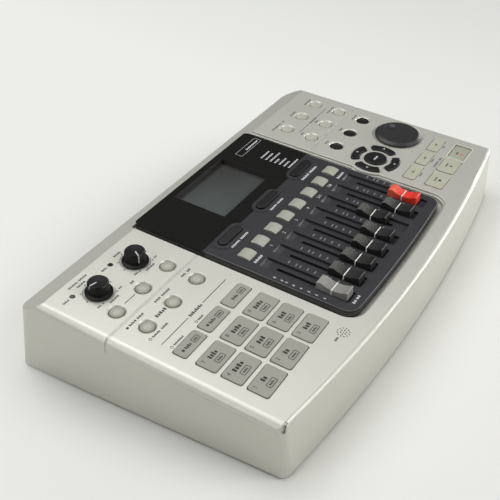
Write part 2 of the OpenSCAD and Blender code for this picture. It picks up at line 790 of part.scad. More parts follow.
// Dished rims round the round keys
module round_rims() {
    d = round_d + hole_grow;
    translate([0, 0, -round_rim]) cylinder(d1 = d, d2 = d + 2 * round_rim, h = round_rim);
    cylinder(d = d + 2 * round_rim, h = 1);
}

// Places of the posts that carry the panel board
module at_posts() { for (p = post_at) translate(p) children(); }

// Places of the case screws, seen from above
module at_bosses() { for (s = [-1, 1], y = boss_y) translate([s * boss_x, front_y + y]) children(); }

// Openings in the rear wall, through it
module rear_holes() {
    translate([0, 0, socket_s]) rotate([90, 0, 0]) slab(-1, wall + 1) {
        for (d = jack_x) translate([d, jack_up]) circle(d = jack_collar + 2 * socket_gap);
        for (d = line_x) translate([d, jack_up]) circle(d = line_d + 2 * socket_gap);
        translate([mini_x, mini_up]) circle(d = mini_collar + 2 * socket_gap);
        translate([inlet_x, inlet_up]) circle(d = inlet_collar + 2 * socket_gap);
        translate([card_x, card_up]) square([card_w, card_h], center = true);
        translate([switch_x, button_up])
            square([switch_travel + button_w + 2 * socket_gap, button_h + 2 * socket_gap], center = true);
    }
}

// Silver moulded case: rolled sides, bowed front, moat for the centre panel, rear wall
module top_case() {
    color(silver_c) difference() {
        union() {
            difference() {
                case_form(0, foot_h);
                case_form(wall, -1);
            }
            intersection() {
                case_form(eps, foot_h);
                union() {
                    on_top() slab(-well_t, 0) moat_outline(-well_wall);
                    on_top() slab(-board_drop, -eps) at_posts() circle(d = post_d);
                    slab(bottom_z, far / 4) at_bosses() circle(d = boss_d);
                }
            }
        }
        on_top() {
            slab(-ledge_t, 10) moat_outline(0);
            slab(-panel_t, 10) moat_outline(ledge_w);
            slab(-well_t - 1, 10) panel_outline(flange_w);
            slab(-well_t - 1, 5) top_holes();
            at_round_left() round_rims();
            at_round_right() round_rims();
            at_black() round_rims();
            translate([dial_x, cursor_b, -dial_gap])
                cylinder(r1 = dial_r + dial_gap, r2 = dial_r + dial_gap + dial_rim, h = dial_gap);
            for (x = knob_x) translate([x, knob_b, -knob_well])
                cylinder(r1 = knob_skirt_r + knob_room, r2 = knob_skirt_r + knob_room + knob_rim, h = knob_well);
            slab(-board_drop - 1, screw_l - board_drop - 1) at_posts() circle(d = screw_d + 2 * screw_gap);
        }
        slab(bottom_z - 1, bottom_z + screw_l) at_bosses() circle(d = screw_d + 2 * screw_gap);
        on_rear() rear_holes();
        case_lines();
    }
}

// Groove across the top, step under the left roll, crease at its front end, round front edge
module case_lines() {
    difference() {
        on_top() {
            translate([-far / 2, groove_b - groove_w / 2, -1.8 * side_round])
                cube([far / 2 + panel_x0, groove_w, far]);
            translate([panel_x1, groove_b - groove_w / 2, -1.8 * side_round])
                cube([far, groove_w, far]);
        }
        case_form(groove_t, -1);
    }
    difference() {
        on_top() translate([-half_w - 1, -crease_w / 2, -side_round - 1])
            cube([side_round + 1.5, 2 * crease_w, far]);
        case_form(crease_t, -1);
    }
    on_top() translate([-half_w, groove_b, 0]) rotate([0, 0, atan(side_step / groove_b)]) {
        translate([-far, -far, -far - side_round - crease_t / 2]) cube([far, far, far]);
        translate([-far, -far, -far]) cube([far, far - groove_b - crease_w, 2 * far]);
    }
    r = front_round;
    on_top() translate([0, bow_r - front_bow, 0]) rotate_extrude($fn = 360) difference() {
        translate([bow_r - 0.85 * r, hair - r]) square([3 * r, 2 * r]);
        translate([bow_r - 0.85 * r, 2 * hair - r]) circle(r);
    }
}

// Bottom cover with the battery bay, board posts and screw holes
module bottom_cover() {
    color(dark_c) difference() {
        union() {
            intersection() {
                case_form(wall + bottom_gap, foot_h);
                slab(foot_h, bottom_z) square(2 * far, center = true);
            }
            translate([bay_x, bay_mid]) slab(foot_h, bottom_z + bay_h + bay_wall)
                square([bay_w + 2 * bay_wall, bay_l + 2 * bay_wall], center = true);
            intersection() {
                on_rear() for (x = [-1, 1], t = [stand_t[0], main_d - stand_t[1]])
                    translate([x * (board_x - stand_in), -main_gap - wall - t, -far / 4])
                        cylinder(d = post_d, h = far / 4 + main_s);
                slab(bottom_z - eps, far) square(2 * far, center = true);
            }
        }
        translate([bay_x, bay_mid]) slab(foot_h - 1, bottom_z + bay_h) square([bay_w, bay_l], center = true);
        cover_seat();
        slab(0, far / 8) at_bosses() circle(d = screw_d + 2 * screw_gap);
        slab(0, foot_h + head_t) at_bosses() circle(d = head_d + 2 * socket_gap);
        feet_at() translate([0, 0, foot_h - 1]) cylinder(d = foot_d + 2 * bottom_gap, h = foot_seat + 1);
    }
}

// Recess of the battery cover
module cover_seat() {
    translate([bay_x, bay_mid]) slab(foot_h - 1, foot_h + cover_t)
        rounded(cover_w + 2 * cover_gap, cover_l + 2 * cover_gap, cover_corner + cover_gap);
}

// Dark centre panel with the fader lanes, key holes and a seat for the window
module fader_panel() {
    lcd_grow = 2 * (lcd_border + socket_gap);
    color(dark_c) on_top() difference() {
        union() {
            difference() {
                slab(-panel_t, 0) panel_outline(0);
                slab(-panel_t - 1, -panel_plate) intersection() {
                    panel_outline(flange_w);
                    fader_area(0);
                }
                slab(-panel_t - 1, -window_t - lane_floor) difference() {
                    panel_outline(flange_w);
                    fader_area(0);
                }
            }
            for (x = lane_x) translate([x, (lane_b0 + lane_b1) / 2])
                slab(-lane_t - lane_floor, -eps)
                    square([lane_w + 2 * lane_floor, lane_b1 - lane_b0 + 2 * lane_floor], center = true);
            at_mode() slab(-panel_plate, mode_rim_h) mode_outline(2 * (key_gap + mode_rim));
        }
        slab(-window_t, 5) difference() {
            panel_outline(-1);
            fader_area(window_gap);
        }
        for (x = lane_x) translate([x, (lane_b0 + lane_b1) / 2]) {
            slab(-lane_t, 1) square([lane_w, lane_b1 - lane_b0], center = true);
            slab(-far, 1) square([stem_w + 2 * stem_gap, cap_travel + stem_d + 2 * stem_gap], center = true);
        }
        slab(-far, 5) {
            at_status() status_outline(hole_grow);
            at_mode() mode_outline(hole_grow);
            translate([panel_x + lcd_x, lcd_b]) square([lcd_w + lcd_grow, lcd_d + lcd_grow], center = true);
        }
    }
}

// Gloss black window behind the seam
module display_window() {
    color(black_c) on_top() slab(-window_t, 0) difference() {
        panel_outline(0);
        fader_area(2 * window_gap);
    }
}

// Display glass in its frame, standing on the panel board
module lcd_module() {
    color([0.3, 0.34, 0.33]) on_top() translate([panel_x + lcd_x, lcd_b]) difference() {
        slab(-board_drop, -window_t) square([lcd_w + 2 * lcd_border, lcd_d + 2 * lcd_border], center = true);
        slab(-window_t - lcd_recess, 0) square([lcd_w, lcd_d], center = true);
    }
}

// Board under the whole top
module panel_board() {
    color(board_c) on_top() difference() {
        translate([0, (board_b0 + board_b1) / 2]) slab(-board_drop - board_t, -board_drop)
            square([2 * board_x, board_b1 - board_b0], center = true);
        slab(-far / 2, far / 2) at_posts() circle(d = screw_d + 2 * screw_gap);
    }
}

// Board square to the rear wall, which carries the sockets
module main_board() {
    color(board_c) on_rear() translate([0, -wall - main_gap - main_d / 2, main_s])
        slab(0, board_t) square([2 * (board_x - main_in), main_d], center = true);
}

// Slide potentiometers with slotted covers
module slide_pots() {
    top = -lane_t - lane_floor - stem_gap;
    color(metal_c) on_top() for (x = lane_x) translate([x, (lane_b0 + lane_b1) / 2]) difference() {
        slab(-board_drop, top)
            square([lane_w - 2 * stem_gap, cap_travel + stem_d + 2 * slide_end], center = true);
        slab(pot_floor, 0)
            square([stem_w + 2 * stem_gap, cap_travel + stem_d + 2 * stem_gap], center = true);
    }
}

// Bodies of the two input potentiometers, each with a collar for its knob's shaft
module rotary_pots() {
    color(metal_c) on_top() for (x = knob_x) translate([x, knob_b]) pot(pot_w);
}

// Body of one rotary control
module pot(w) {
    difference() {
        union() {
            slab(-board_drop, -board_drop + pot_h) square(w, center = true);
            slab(-board_drop, -wall - spin_gap) circle(d = shaft_d + 2 * (shaft_gap + collar_wall));
        }
        slab(pot_floor, 0) circle(d = shaft_d + 2 * shaft_gap);
    }
}

// Rotary encoder under the dial
module dial_encoder() {
    color(metal_c) on_top() translate([dial_x, cursor_b]) pot(encoder_w);
}

// One switch under each key, short of its pressed place
module key_switch() {
    slab(-board_drop, -board_drop + switch_h) square(switch_w, center = true);
    slab(-board_drop, press_n) circle(d = plunger_d, $fn = 24);
}

module key_switches() {
    mid = (cursor_r0 + cursor_r1) / 2;
    color(black_c) on_top() {
        at_pads() key_switch();
        at_rhythm() key_switch();
        at_round_left() key_switch();
        at_round_right() key_switch();
        at_black() key_switch();
        at_move() key_switch();
        at_skip() key_switch();
        at_status() key_switch();
        at_mode() key_switch();
        at_cursor() translate([mid, 0]) key_switch();
        translate([cursor_x, cursor_b]) key_switch();
    }
}

// Round socket: a body on the main board and a collar through the rear wall, with its bore
module socket(x, w, l, up, collar, bore) {
    on_rear() translate([x, 0, socket_s]) difference() {
        union() {
            translate([-w / 2, -wall - socket_gap - l, 0]) cube([w, l, 2 * up]);
            translate([0, 0, up]) rotate([90, 0, 0]) cylinder(d = collar, h = wall + 2 * socket_gap);
        }
        translate([0, 1, up]) rotate([90, 0, 0]) cylinder(d = bore, h = l + wall);
    }
}

module phone_jacks() {
    color(black_c) for (d = jack_x) socket(d, jack_w, jack_l, jack_up, jack_collar, jack_bore);
}

// Line sockets: a shell with a centre hole, proud of the rear wall
module line_sockets() {
    color(metal_c) for (d = line_x) on_rear() translate([d, 0, socket_s]) difference() {
        union() {
            translate([-line_w / 2, -wall - socket_gap - line_l, 0]) cube([line_w, line_l, 2 * jack_up]);
            translate([0, line_proud, jack_up]) rotate([90, 0, 0])
                cylinder(d = line_d, h = line_proud + wall + 2 * socket_gap);
        }
        translate([0, line_proud + 1, jack_up]) rotate([90, 0, 0])
            cylinder(d = line_bore, h = line_proud + line_l);
    }
}

module headphone_jack() {
    color(black_c) socket(mini_x, mini_w, mini_l, mini_up, mini_collar, mini_bore);
}

// Power inlet with its centre pin
module power_inlet() {
    color(black_c) {
        socket(inlet_x, inlet_w, inlet_l, inlet_up, inlet_collar, inlet_bore);
        on_rear() translate([inlet_x, -1, socket_s + inlet_up]) rotate([90, 0, 0])
            cylinder(d = inlet_pin, h = inlet_l + wall - pin_back);
    }
}

// Card socket: a flat cage behind the slot
module card_socket() {
    color(metal_c) on_rear() translate([card_x, -wall - main_gap - card_l, socket_s]) difference() {
        translate([-card_w / 2 - card_wall, 0, 0])
            cube([card_w + 2 * card_wall, card_l, card_up + card_h / 2 + card_wall]);
        translate([-card_w / 2, card_wall, card_up - card_h / 2]) cube([card_w, card_l, card_h]);
    }
}

// Contact plates and springs at both ends of the cells
module battery_contacts() {
    pitch = cell_d + cell_room;
    color(metal_c) for (i = [0 : cell_n - 1], s = [-1, 1])
        translate([bay_x + (i - (cell_n - 1) / 2) * pitch, bay_mid + s * bay_l / 2, bottom_z + bay_h / 2])
            rotate([90 * s, 0, 0]) {
                slab(0, card_wall) square(0.7 * cell_d, center = true);
                cylinder(d1 = 0.55 * cell_d, d2 = 0.35 * cell_d, h = s > 0 ? spring_l : spring_l / 2);
            }
}

// Places of the rubber feet
module feet_at() {
    for (s = [-1, 1], y = [boss_y[0], boss_y[2]])
        translate([s * (half_w - foot_in - boss_d), front_y + y]) children();
}

module feet() {
    color(black_c) feet_at() cylinder(d = foot_d, h = foot_top);
}

// Screw with a round head, point up from height 0
module screw() {
    translate([0, 0, -head_t]) cylinder(d = head_d, h = head_t);
    translate([0, 0, -eps]) cylinder(d = screw_d, h = screw_l - screw_tip);
}

module screws() {
    color(metal_c) {
        at_bosses() translate([0, 0, foot_h + head_t]) screw();
        on_top() translate([0, 0, -board_drop - board_t]) at_posts() screw();
    }
}

// Lenses of the two peak lamps
module peak_lamps() {
    color([0.25, 0.2, 0.18]) on_top() for (x = knob_x) translate([x - lamp_dx, knob_b + lamp_db]) {
        slab(-board_drop, lamp_gap) circle(d = lamp_d - 2 * lamp_gap);
        slab(-board_drop, -wall - lamp_gap) circle(d = lamp_d + 2 * lamp_gap);
    }
}

// Microphone capsule behind its holes
module mic_capsule() {
    color(metal_c) on_top() translate([mic_x, mic_b]) slab(-wall - mic_l, -wall) circle(d = mic_d);
}

// Sliding power switch in the rear wall, with its shoe on the main board
module power_switch() {
    shoe = button_up - key_rest;
    color(black_c) on_rear() translate([switch_x - switch_travel / 2, 0, socket_s + button_up]) {
        translate([-button_w / 2, -wall - 2 * socket_gap, -button_h / 2])
            cube([button_w, wall + 2 * socket_gap + button_out, button_h]);
        translate([-button_w, -wall - socket_gap - shoe_l, -shoe])
            cube([2 * button_w, shoe_l, 2 * shoe]);
    }
}

// Battery cover with a finger notch at its front edge
module battery_cover() {
    color(dark_c) difference() {
        translate([bay_x, bay_mid]) slab(foot_h, foot_h + cover_t - key_rest)
            rounded(cover_w, cover_l, cover_corner);
        translate([bay_x, bay_mid - cover_l / 2]) slab(0, bottom_z) circle(d = notch_d);
    }
}

// Fluted knob with a skirt, a pointer groove and a shaft, turned by a from twelve o'clock
module input_knob(i) {
    low = spin_gap - knob_well;
    neck = low + knob_skirt_h;
    grip = neck + flute_up;
    color(black_c) on_top() translate([knob_x[i], knob_b, 0]) rotate(knob_turn[i]) difference() {
        rotate_extrude() polygon([[0, shaft_n], [shaft_d / 2, shaft_n], [shaft_d / 2, low], [knob_skirt_r, low],
            [knob_skirt_r, low + knob_skirt_h / 2], [knob_r + knob_taper, neck], [knob_r, knob_h - knob_edge],
            [knob_r - knob_edge, knob_h], [0, knob_h - knob_dish]]);
        for (k = [0 : flute_n - 1]) rotate((k + 0.5) * 360 / flute_n)
            translate([knob_r + 0.35 * flute_d, 0, grip]) cylinder(d = flute_d, h = knob_h, $fn = 16);
        translate([-pointer_w / 2, knob_edge, knob_h - pointer_t]) cube([pointer_w, knob_r, 1]);
        translate([-pointer_w / 2, knob_r - pointer_t, grip]) cube([pointer_w, knob_r, knob_h]);
    }
}

// Large dial with a dished face, a round edge and a finger dimple
module jog_dial() {
    low = spin_gap - dial_gap;
    ball = (dimple_r * dimple_r + dimple_t * dimple_t) / (2 * dimple_t);
    color(black_c) on_top() translate([dial_x, cursor_b, 0]) difference() {
        rotate_extrude($fn = 96) polygon([[0, shaft_n], [shaft_d / 2, shaft_n], [shaft_d / 2, low], [dial_r, low],
            [dial_r, dial_h - dial_edge], [dial_r - dial_slope, dial_h], [0, dial_h - dial_dish]]);
        rotate(dimple_turn) translate([dimple_out, 0, dial_h - dimple_t + ball]) sphere(ball);
    }
}

// Fader cap: saddle between a front lip and a land at the back, ridges before the land, and the stem down its lane
module fader_cap(i) {
    back = cap_d / 2;
    half = (cap_d - cap_land - cap_lip) / 2 - ridge_r;
    mid = (cap_lip - cap_land) / 2;
    arc = (half * half + cap_dip * cap_dip) / (2 * cap_dip);
    up = cap_h - cap_dip + arc;
    color(i == 7 ? red_c : i == 0 ? rubber_c : black_c)
        on_top() translate([lane_x[i], cap_b0 + cap_set[i], 0]) {
            rotate([90, 0, 90]) translate([0, 0, -cap_w / 2]) linear_extrude(cap_w) difference() {
                polygon([[-back, -cap_sink], [back, -cap_sink], [back - cap_lip / 2, cap_h - cap_lip],
                    [back - cap_land, cap_h], [cap_lip - back, cap_h], [cap_lip / 2 - back, cap_h - cap_lip / 2]]);
                translate([mid, up]) circle(arc, $fn = 180);
                for (k = [1 : ridge_n], b = k * ridge_pitch)
                    translate([b, up - sqrt(arc * arc - pow(b - mid, 2))]) circle(ridge_r, $fn = 16);
            }
            slab(shaft_n, eps - cap_sink) square([stem_w, stem_d], center = true);
        }
}

// Key with a body through the panel and a flange behind it
module key_body(top, back) {
    slab(back - key_flange / 2, top) children(0);
    slab(back - key_flange, back) children(1);
}

module pad(k) {
    color(rubber_c) on_top() translate([pad_x[k % 3], pad_b + floor(k / 3) * pad_pitch_b])
        key_body(key_h, flange_n) { pad_outline(0); pad_outline(flange_grow); }
}

module rhythm_keys() {
    color(rubber_c) on_top() at_rhythm()
        key_body(key_h, flange_n) { rhythm_outline(0); rhythm_outline(flange_grow); }
}

// Round key with a dished face, just below the top
module round_key() {
    r = round_d / 2;
    ball = (r * r + round_dish * round_dish) / (2 * round_dish);
    difference() {
        key_body(-round_sink, flange_n) { circle(d = round_d); circle(d = round_d + flange_grow); }
        translate([0, 0, ball - round_dish - round_sink]) sphere(ball - eps, $fn = 96);
    }
}

module round_keys_left() { color(clear_c) on_top() at_round_left() round_key(); }
module round_keys_right() { color(clear_c) on_top() at_round_right() round_key(); }
module round_keys_black() { color(black_c) on_top() at_black() round_key(); }

// Status keys, arched front to back
module status_keys() {
    half = status_w / 2;
    r = (half * half + status_rise * status_rise) / (2 * status_rise);
    color(clear_c) on_top() at_status() {
        intersection() {
            slab(panel_flange_n - key_flange / 2, 5) status_outline(0);
            translate([0, 0, status_rise - r + 4 * eps]) rotate([0, 90, 0])
                cylinder(r = r, h = 2 * half, center = true, $fn = 96);
        }
        slab(panel_flange_n - key_flange, panel_flange_n) status_outline(flange_grow);
    }
}

module mode_keys() {
    color(black_c) on_top() at_mode()
        key_body(mode_rise, panel_flange_n) { mode_outline(0); mode_outline(flange_grow); }
}

module move_key(i) {
    color(clear_c) on_top() translate([move_x[i], move_b])
        key_body(i == 2 ? -record_sink : key_h, flange_n) { move_outline(0); move_outline(flange_grow); }
}

module skip_key(i) {
    color(clear_c) on_top() translate([move_x[i], skip_b])
        key_body(key_h, flange_n) { skip_outline(0); skip_outline(flange_grow); }
}

module cursor_key(k) {
    color(black_c) on_top() translate([cursor_x, cursor_b]) rotate(90 * k)
        key_body(cursor_h, flange_n) { cursor_outline(0); cursor_outline(flange_grow); }
}

module enter_key() {
    color(black_c) on_top() translate([cursor_x, cursor_b])
        key_body(cursor_h, flange_n) { circle(enter_r); circle(enter_r + flange_grow / 2); }
}

top_case();
bottom_cover();
fader_panel();
display_window();
lcd_module();
panel_board();
main_board();
slide_pots();
rotary_pots();
dial_encoder();
key_switches();
phone_jacks();
line_sockets();
headphone_jack();
power_inlet();
card_socket();
battery_contacts();
feet();
screws();
peak_lamps();
mic_capsule();
power_switch();
battery_cover();
input_knob(0);  // input_knob_1
input_knob(1);  // input_knob_2
jog_dial();
fader_cap(0);  // fader_cap_1
fader_cap(1);  // fader_cap_2
fader_cap(2);  // fader_cap_3
fader_cap(3);  // fader_cap_4
fader_cap(4);  // fader_cap_5
fader_cap(5);  // fader_cap_6
fader_cap(6);  // fader_cap_7
fader_cap(7);  // fader_cap_8
pad(0);  // pad_1
pad(1);  // pad_2
pad(2);  // pad_3
pad(3);  // pad_4
pad(4);  // pad_5
pad(5);  // pad_6
pad(6);  // pad_7
pad(7);  // pad_8
pad(8);  // pad_9
skip_key(0);  // return_key
skip_key(1);  // rewind_key
skip_key(2);  // forward_key
move_key(0);  // stop_key
move_key(1);  // play_key
move_key(2);  // record_key
cursor_key(0);  // cursor_right
cursor_key(1);  // cursor_up
cursor_key(2);  // cursor_left
cursor_key(3);  // cursor_down
enter_key();
rhythm_keys();
mode_keys();
status_keys();
round_keys_left();
round_keys_right();
round_keys_black();
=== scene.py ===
import json
import math

import bmesh
import bpy
from mathutils import Matrix, Vector


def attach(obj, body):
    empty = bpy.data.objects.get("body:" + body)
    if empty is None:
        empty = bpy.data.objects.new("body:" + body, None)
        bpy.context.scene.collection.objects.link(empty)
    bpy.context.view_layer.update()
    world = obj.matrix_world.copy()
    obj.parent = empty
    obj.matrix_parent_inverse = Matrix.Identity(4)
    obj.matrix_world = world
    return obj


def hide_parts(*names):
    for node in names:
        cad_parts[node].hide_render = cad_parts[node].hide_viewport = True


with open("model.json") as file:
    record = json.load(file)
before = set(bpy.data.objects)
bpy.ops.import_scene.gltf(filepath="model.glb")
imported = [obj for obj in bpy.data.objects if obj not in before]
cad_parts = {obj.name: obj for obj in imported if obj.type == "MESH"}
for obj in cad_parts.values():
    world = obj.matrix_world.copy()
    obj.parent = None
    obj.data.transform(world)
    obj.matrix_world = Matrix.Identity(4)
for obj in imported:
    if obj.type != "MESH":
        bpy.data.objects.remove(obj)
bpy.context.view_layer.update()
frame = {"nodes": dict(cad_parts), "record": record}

nodes = frame["nodes"]
scene = bpy.context.scene
scene.view_settings.view_transform = "Standard"

# the photograph's point of view
camera = {
    "eye": (-0.3915, -0.2318, 0.3488),
    "right": (0.5224, -0.8512, -0.0505),
    "up": (0.5221, 0.2725, 0.8082),
    "lens": 59.28,
    "sensor": 36.0,
}


def placeCamera(look):
    data = bpy.data.cameras.new("studioCamera")
    data.sensor_width = look["sensor"]
    data.lens = look["lens"]
    cam = bpy.data.objects.new("studioCamera", data)
    right = Vector(look["right"]).normalized()
    back = right.cross(Vector(look["up"])).normalized()
    up = back.cross(right)
    cam.matrix_world = Matrix.Translation(look["eye"]) @ Matrix((right, up, back)).transposed().to_4x4()
    scene.collection.objects.link(cam)
    scene.camera = cam


placeCamera(camera)
print("camera: lens", camera["lens"])


def tone(r, g, b):  # screen colour to the shader's linear one
    def lin(c):
        c = c / 255
        return c / 12.92 if c <= 0.04045 else ((c + 0.055) / 1.055) ** 2.4
    return (lin(r), lin(g), lin(b), 1.0)


def shaded(colour, k):
    return (min(colour[0] * k, 1), min(colour[1] * k, 1), min(colour[2] * k, 1), 1.0)


# soft studio light from above, behind, the left and the front, with a low strip at the front right
studio = {
    "sky": tone(150, 151, 150),
    "skyStrength": 0.02,
    "boxes": {
        "topBox": {"at": (0.42, 0.24, 1.3), "aim": (0, 0, 0.03), "size": (1.0, 1.0), "power": 5.2},
        "overBox": {"at": (-0.15, 0.1, 1.3), "aim": (0, 0, 0.03), "size": (0.9, 0.9), "power": 3.3},
        "backBox": {"at": (0.1, 0.6, 1.05), "aim": (0, 0, 0.05), "size": (0.6, 0.6), "power": 2.5},
        "backLeftBox": {"at": (-0.45, 0.55, 1.0), "aim": (0, 0, 0.05), "size": (0.9, 0.9), "power": 2.7},
        "farLeftBox": {"at": (-1.1, 0.4, 0.62), "aim": (0, 0, 0.05), "size": (0.9, 0.7), "power": 3.5},
        "frontBox": {"at": (0.2, -1.1, 0.8), "aim": (0, 0, 0.03), "size": (0.8, 0.6), "power": 8.7},
        "frontStrip": {"at": (1.15, -0.65, 0.17), "aim": (0, 0, 0.04), "size": (1.2, 0.3), "power": 10.0},
    },
}


def lightStudio(look):
    world = bpy.data.worlds.new("studioSky")
    world.use_nodes = True
    back = world.node_tree.nodes["Background"]
    back.inputs["Color"].default_value = look["sky"]
    back.inputs["Strength"].default_value = look["skyStrength"]
    scene.world = world
    for name, box in look["boxes"].items():
        data = bpy.data.lights.new(name, "AREA")
        data.shape = "RECTANGLE"
        data.size, data.size_y = box["size"]
        data.energy = box["power"]
        lamp = bpy.data.objects.new(name, data)
        away = Vector(box["at"]) - Vector(box["aim"])
        lamp.matrix_world = Matrix.Translation(box["at"]) @ away.to_track_quat("Z", "Y").to_matrix().to_4x4()
        scene.collection.objects.link(lamp)


lightStudio(studio)
print("light:", len(studio["boxes"]), "boxes")


def combine(tree, operation, first, second):  # two values into one, from 0 to 1
    node = tree.nodes.new("ShaderNodeMath")
    node.operation = operation
    node.use_clamp = True
    tree.links.new(first, node.inputs[0])
    tree.links.new(second, node.inputs[1])
    return node.outputs["Value"]


def measure(tree, operation, place, vector):  # a value from a place or direction and a fixed vector
    node = tree.nodes.new("ShaderNodeVectorMath")
    node.operation = operation
    node.inputs[1].default_value = vector
    tree.links.new(place, node.inputs[0])
    return node.outputs["Value"]


def share(tree, value, low, high, kind="LINEAR"):  # 0 at low, 1 at high
    node = tree.nodes.new("ShaderNodeMapRange")
    node.interpolation_type = kind
    node.inputs["From Min"].default_value = low
    node.inputs["From Max"].default_value = high
    tree.links.new(value, node.inputs["Value"])
    return node.outputs["Result"]


def fadeTo(tree, colour, place, look):  # colour that changes along a line, from start to end
    start, run = Vector(look["start"]), Vector(look["end"]) - Vector(look["start"])
    run = run / run.length_squared
    part = share(tree, measure(tree, "DOT_PRODUCT", place, run), start.dot(run), start.dot(run) + 1)
    if "facing" in look:  # only where the surface looks that way
        where = tree.nodes.new("ShaderNodeTexCoord")
        turned = measure(tree, "DOT_PRODUCT", where.outputs["Normal"], look["facing"])
        part = combine(tree, "MULTIPLY", part, turned)
    mixed = tree.nodes.new("ShaderNodeMix")
    mixed.data_type = "RGBA"
    tree.links.new(part, mixed.inputs["Factor"])
    tree.links.new(colour, mixed.inputs[6])  # by number, since the colour sockets share their names with others
    mixed.inputs[7].default_value = look["to"]
    return mixed.outputs[2]


# what a finish has where it says nothing of its own
plainFinish = {
    "metal": 0.0, "gloss": 0.5, "coat": 0.0, "coatRough": 0.1, "glow": 0.0, "glowDepth": 0.002,
    "mottleScale": 35, "mottleDetail": 4, "grainScale": 2600, "grainDetail": 2, "grainShare": 0.35,
    "spread": 0.05, "spreadFrom": 0.3, "spreadTo": 0.7, "roughSpread": 0.05, "roughLeast": 0.02,
    "edge": 0.0003, "edgeSamples": 8, "bump": 0.1, "bumpDepth": 0.00005,
}
shaderSockets = {
    "Metallic": "metal", "Specular IOR Level": "gloss", "Coat Weight": "coat", "Coat Roughness": "coatRough",
    "Subsurface Weight": "glow", "Subsurface Scale": "glowDepth",
}


def finish(name, own):
    look = {**plainFinish, **own}
    mat = bpy.data.materials.new(name)
    mat.use_nodes = True
    tree = mat.node_tree
    bsdf = tree.nodes["Principled BSDF"]
    for socket, key in shaderSockets.items():
        bsdf.inputs[socket].default_value = look[key]
    place = tree.nodes.new("ShaderNodeTexCoord")
    uneven = {}
    for kind in ("mottle", "grain"):  # slow change of the colour, fine texture of the moulding
        noise = tree.nodes.new("ShaderNodeTexNoise")
        noise.inputs["Scale"].default_value = look[kind + "Scale"]
        noise.inputs["Detail"].default_value = look[kind + "Detail"]
        tree.links.new(place.outputs["Object"], noise.inputs["Vector"])
        uneven[kind] = noise.outputs["Fac"]
    both = tree.nodes.new("ShaderNodeMix")
    both.inputs["Factor"].default_value = look["grainShare"]
    tree.links.new(uneven["mottle"], both.inputs["A"])
    tree.links.new(uneven["grain"], both.inputs["B"])
    ramp = tree.nodes.new("ShaderNodeValToRGB")
    ends = ((look["spreadFrom"], 1 - look["spread"]), (look["spreadTo"], 1 + look["spread"]))
    for stop, (at, k) in zip(ramp.color_ramp.elements, ends):
        stop.position = at
        stop.color = shaded(look["colour"], k)
    tree.links.new(both.outputs["Result"], ramp.inputs["Fac"])
    colour = ramp.outputs["Color"]
    if "fade" in look:
        colour = fadeTo(tree, colour, place.outputs[look["fade"].get("over", "Object")], look["fade"])
    tree.links.new(colour, bsdf.inputs["Base Color"])
    rough = tree.nodes.new("ShaderNodeMapRange")
    rough.inputs["To Min"].default_value = max(look["rough"] - look["roughSpread"], look["roughLeast"])
    rough.inputs["To Max"].default_value = min(look["rough"] + look["roughSpread"], 1.0)
    tree.links.new(both.outputs["Result"], rough.inputs["Value"])
    tree.links.new(rough.outputs["Result"], bsdf.inputs["Roughness"])
    edge = tree.nodes.new("ShaderNodeBevel")  # moulded edges are never quite sharp
    edge.samples = look["edgeSamples"]
    edge.inputs["Radius"].default_value = look["edge"]
    bump = tree.nodes.new("ShaderNodeBump")
    bump.inputs["Strength"].default_value = look["bump"]
    bump.inputs["Distance"].default_value = look["bumpDepth"]
    tree.links.new(uneven["grain"], bump.inputs["Height"])
    tree.links.new(edge.outputs["Normal"], bump.inputs["Normal"])
    tree.links.new(bump.outputs["Normal"], bsdf.inputs["Normal"])
    return mat


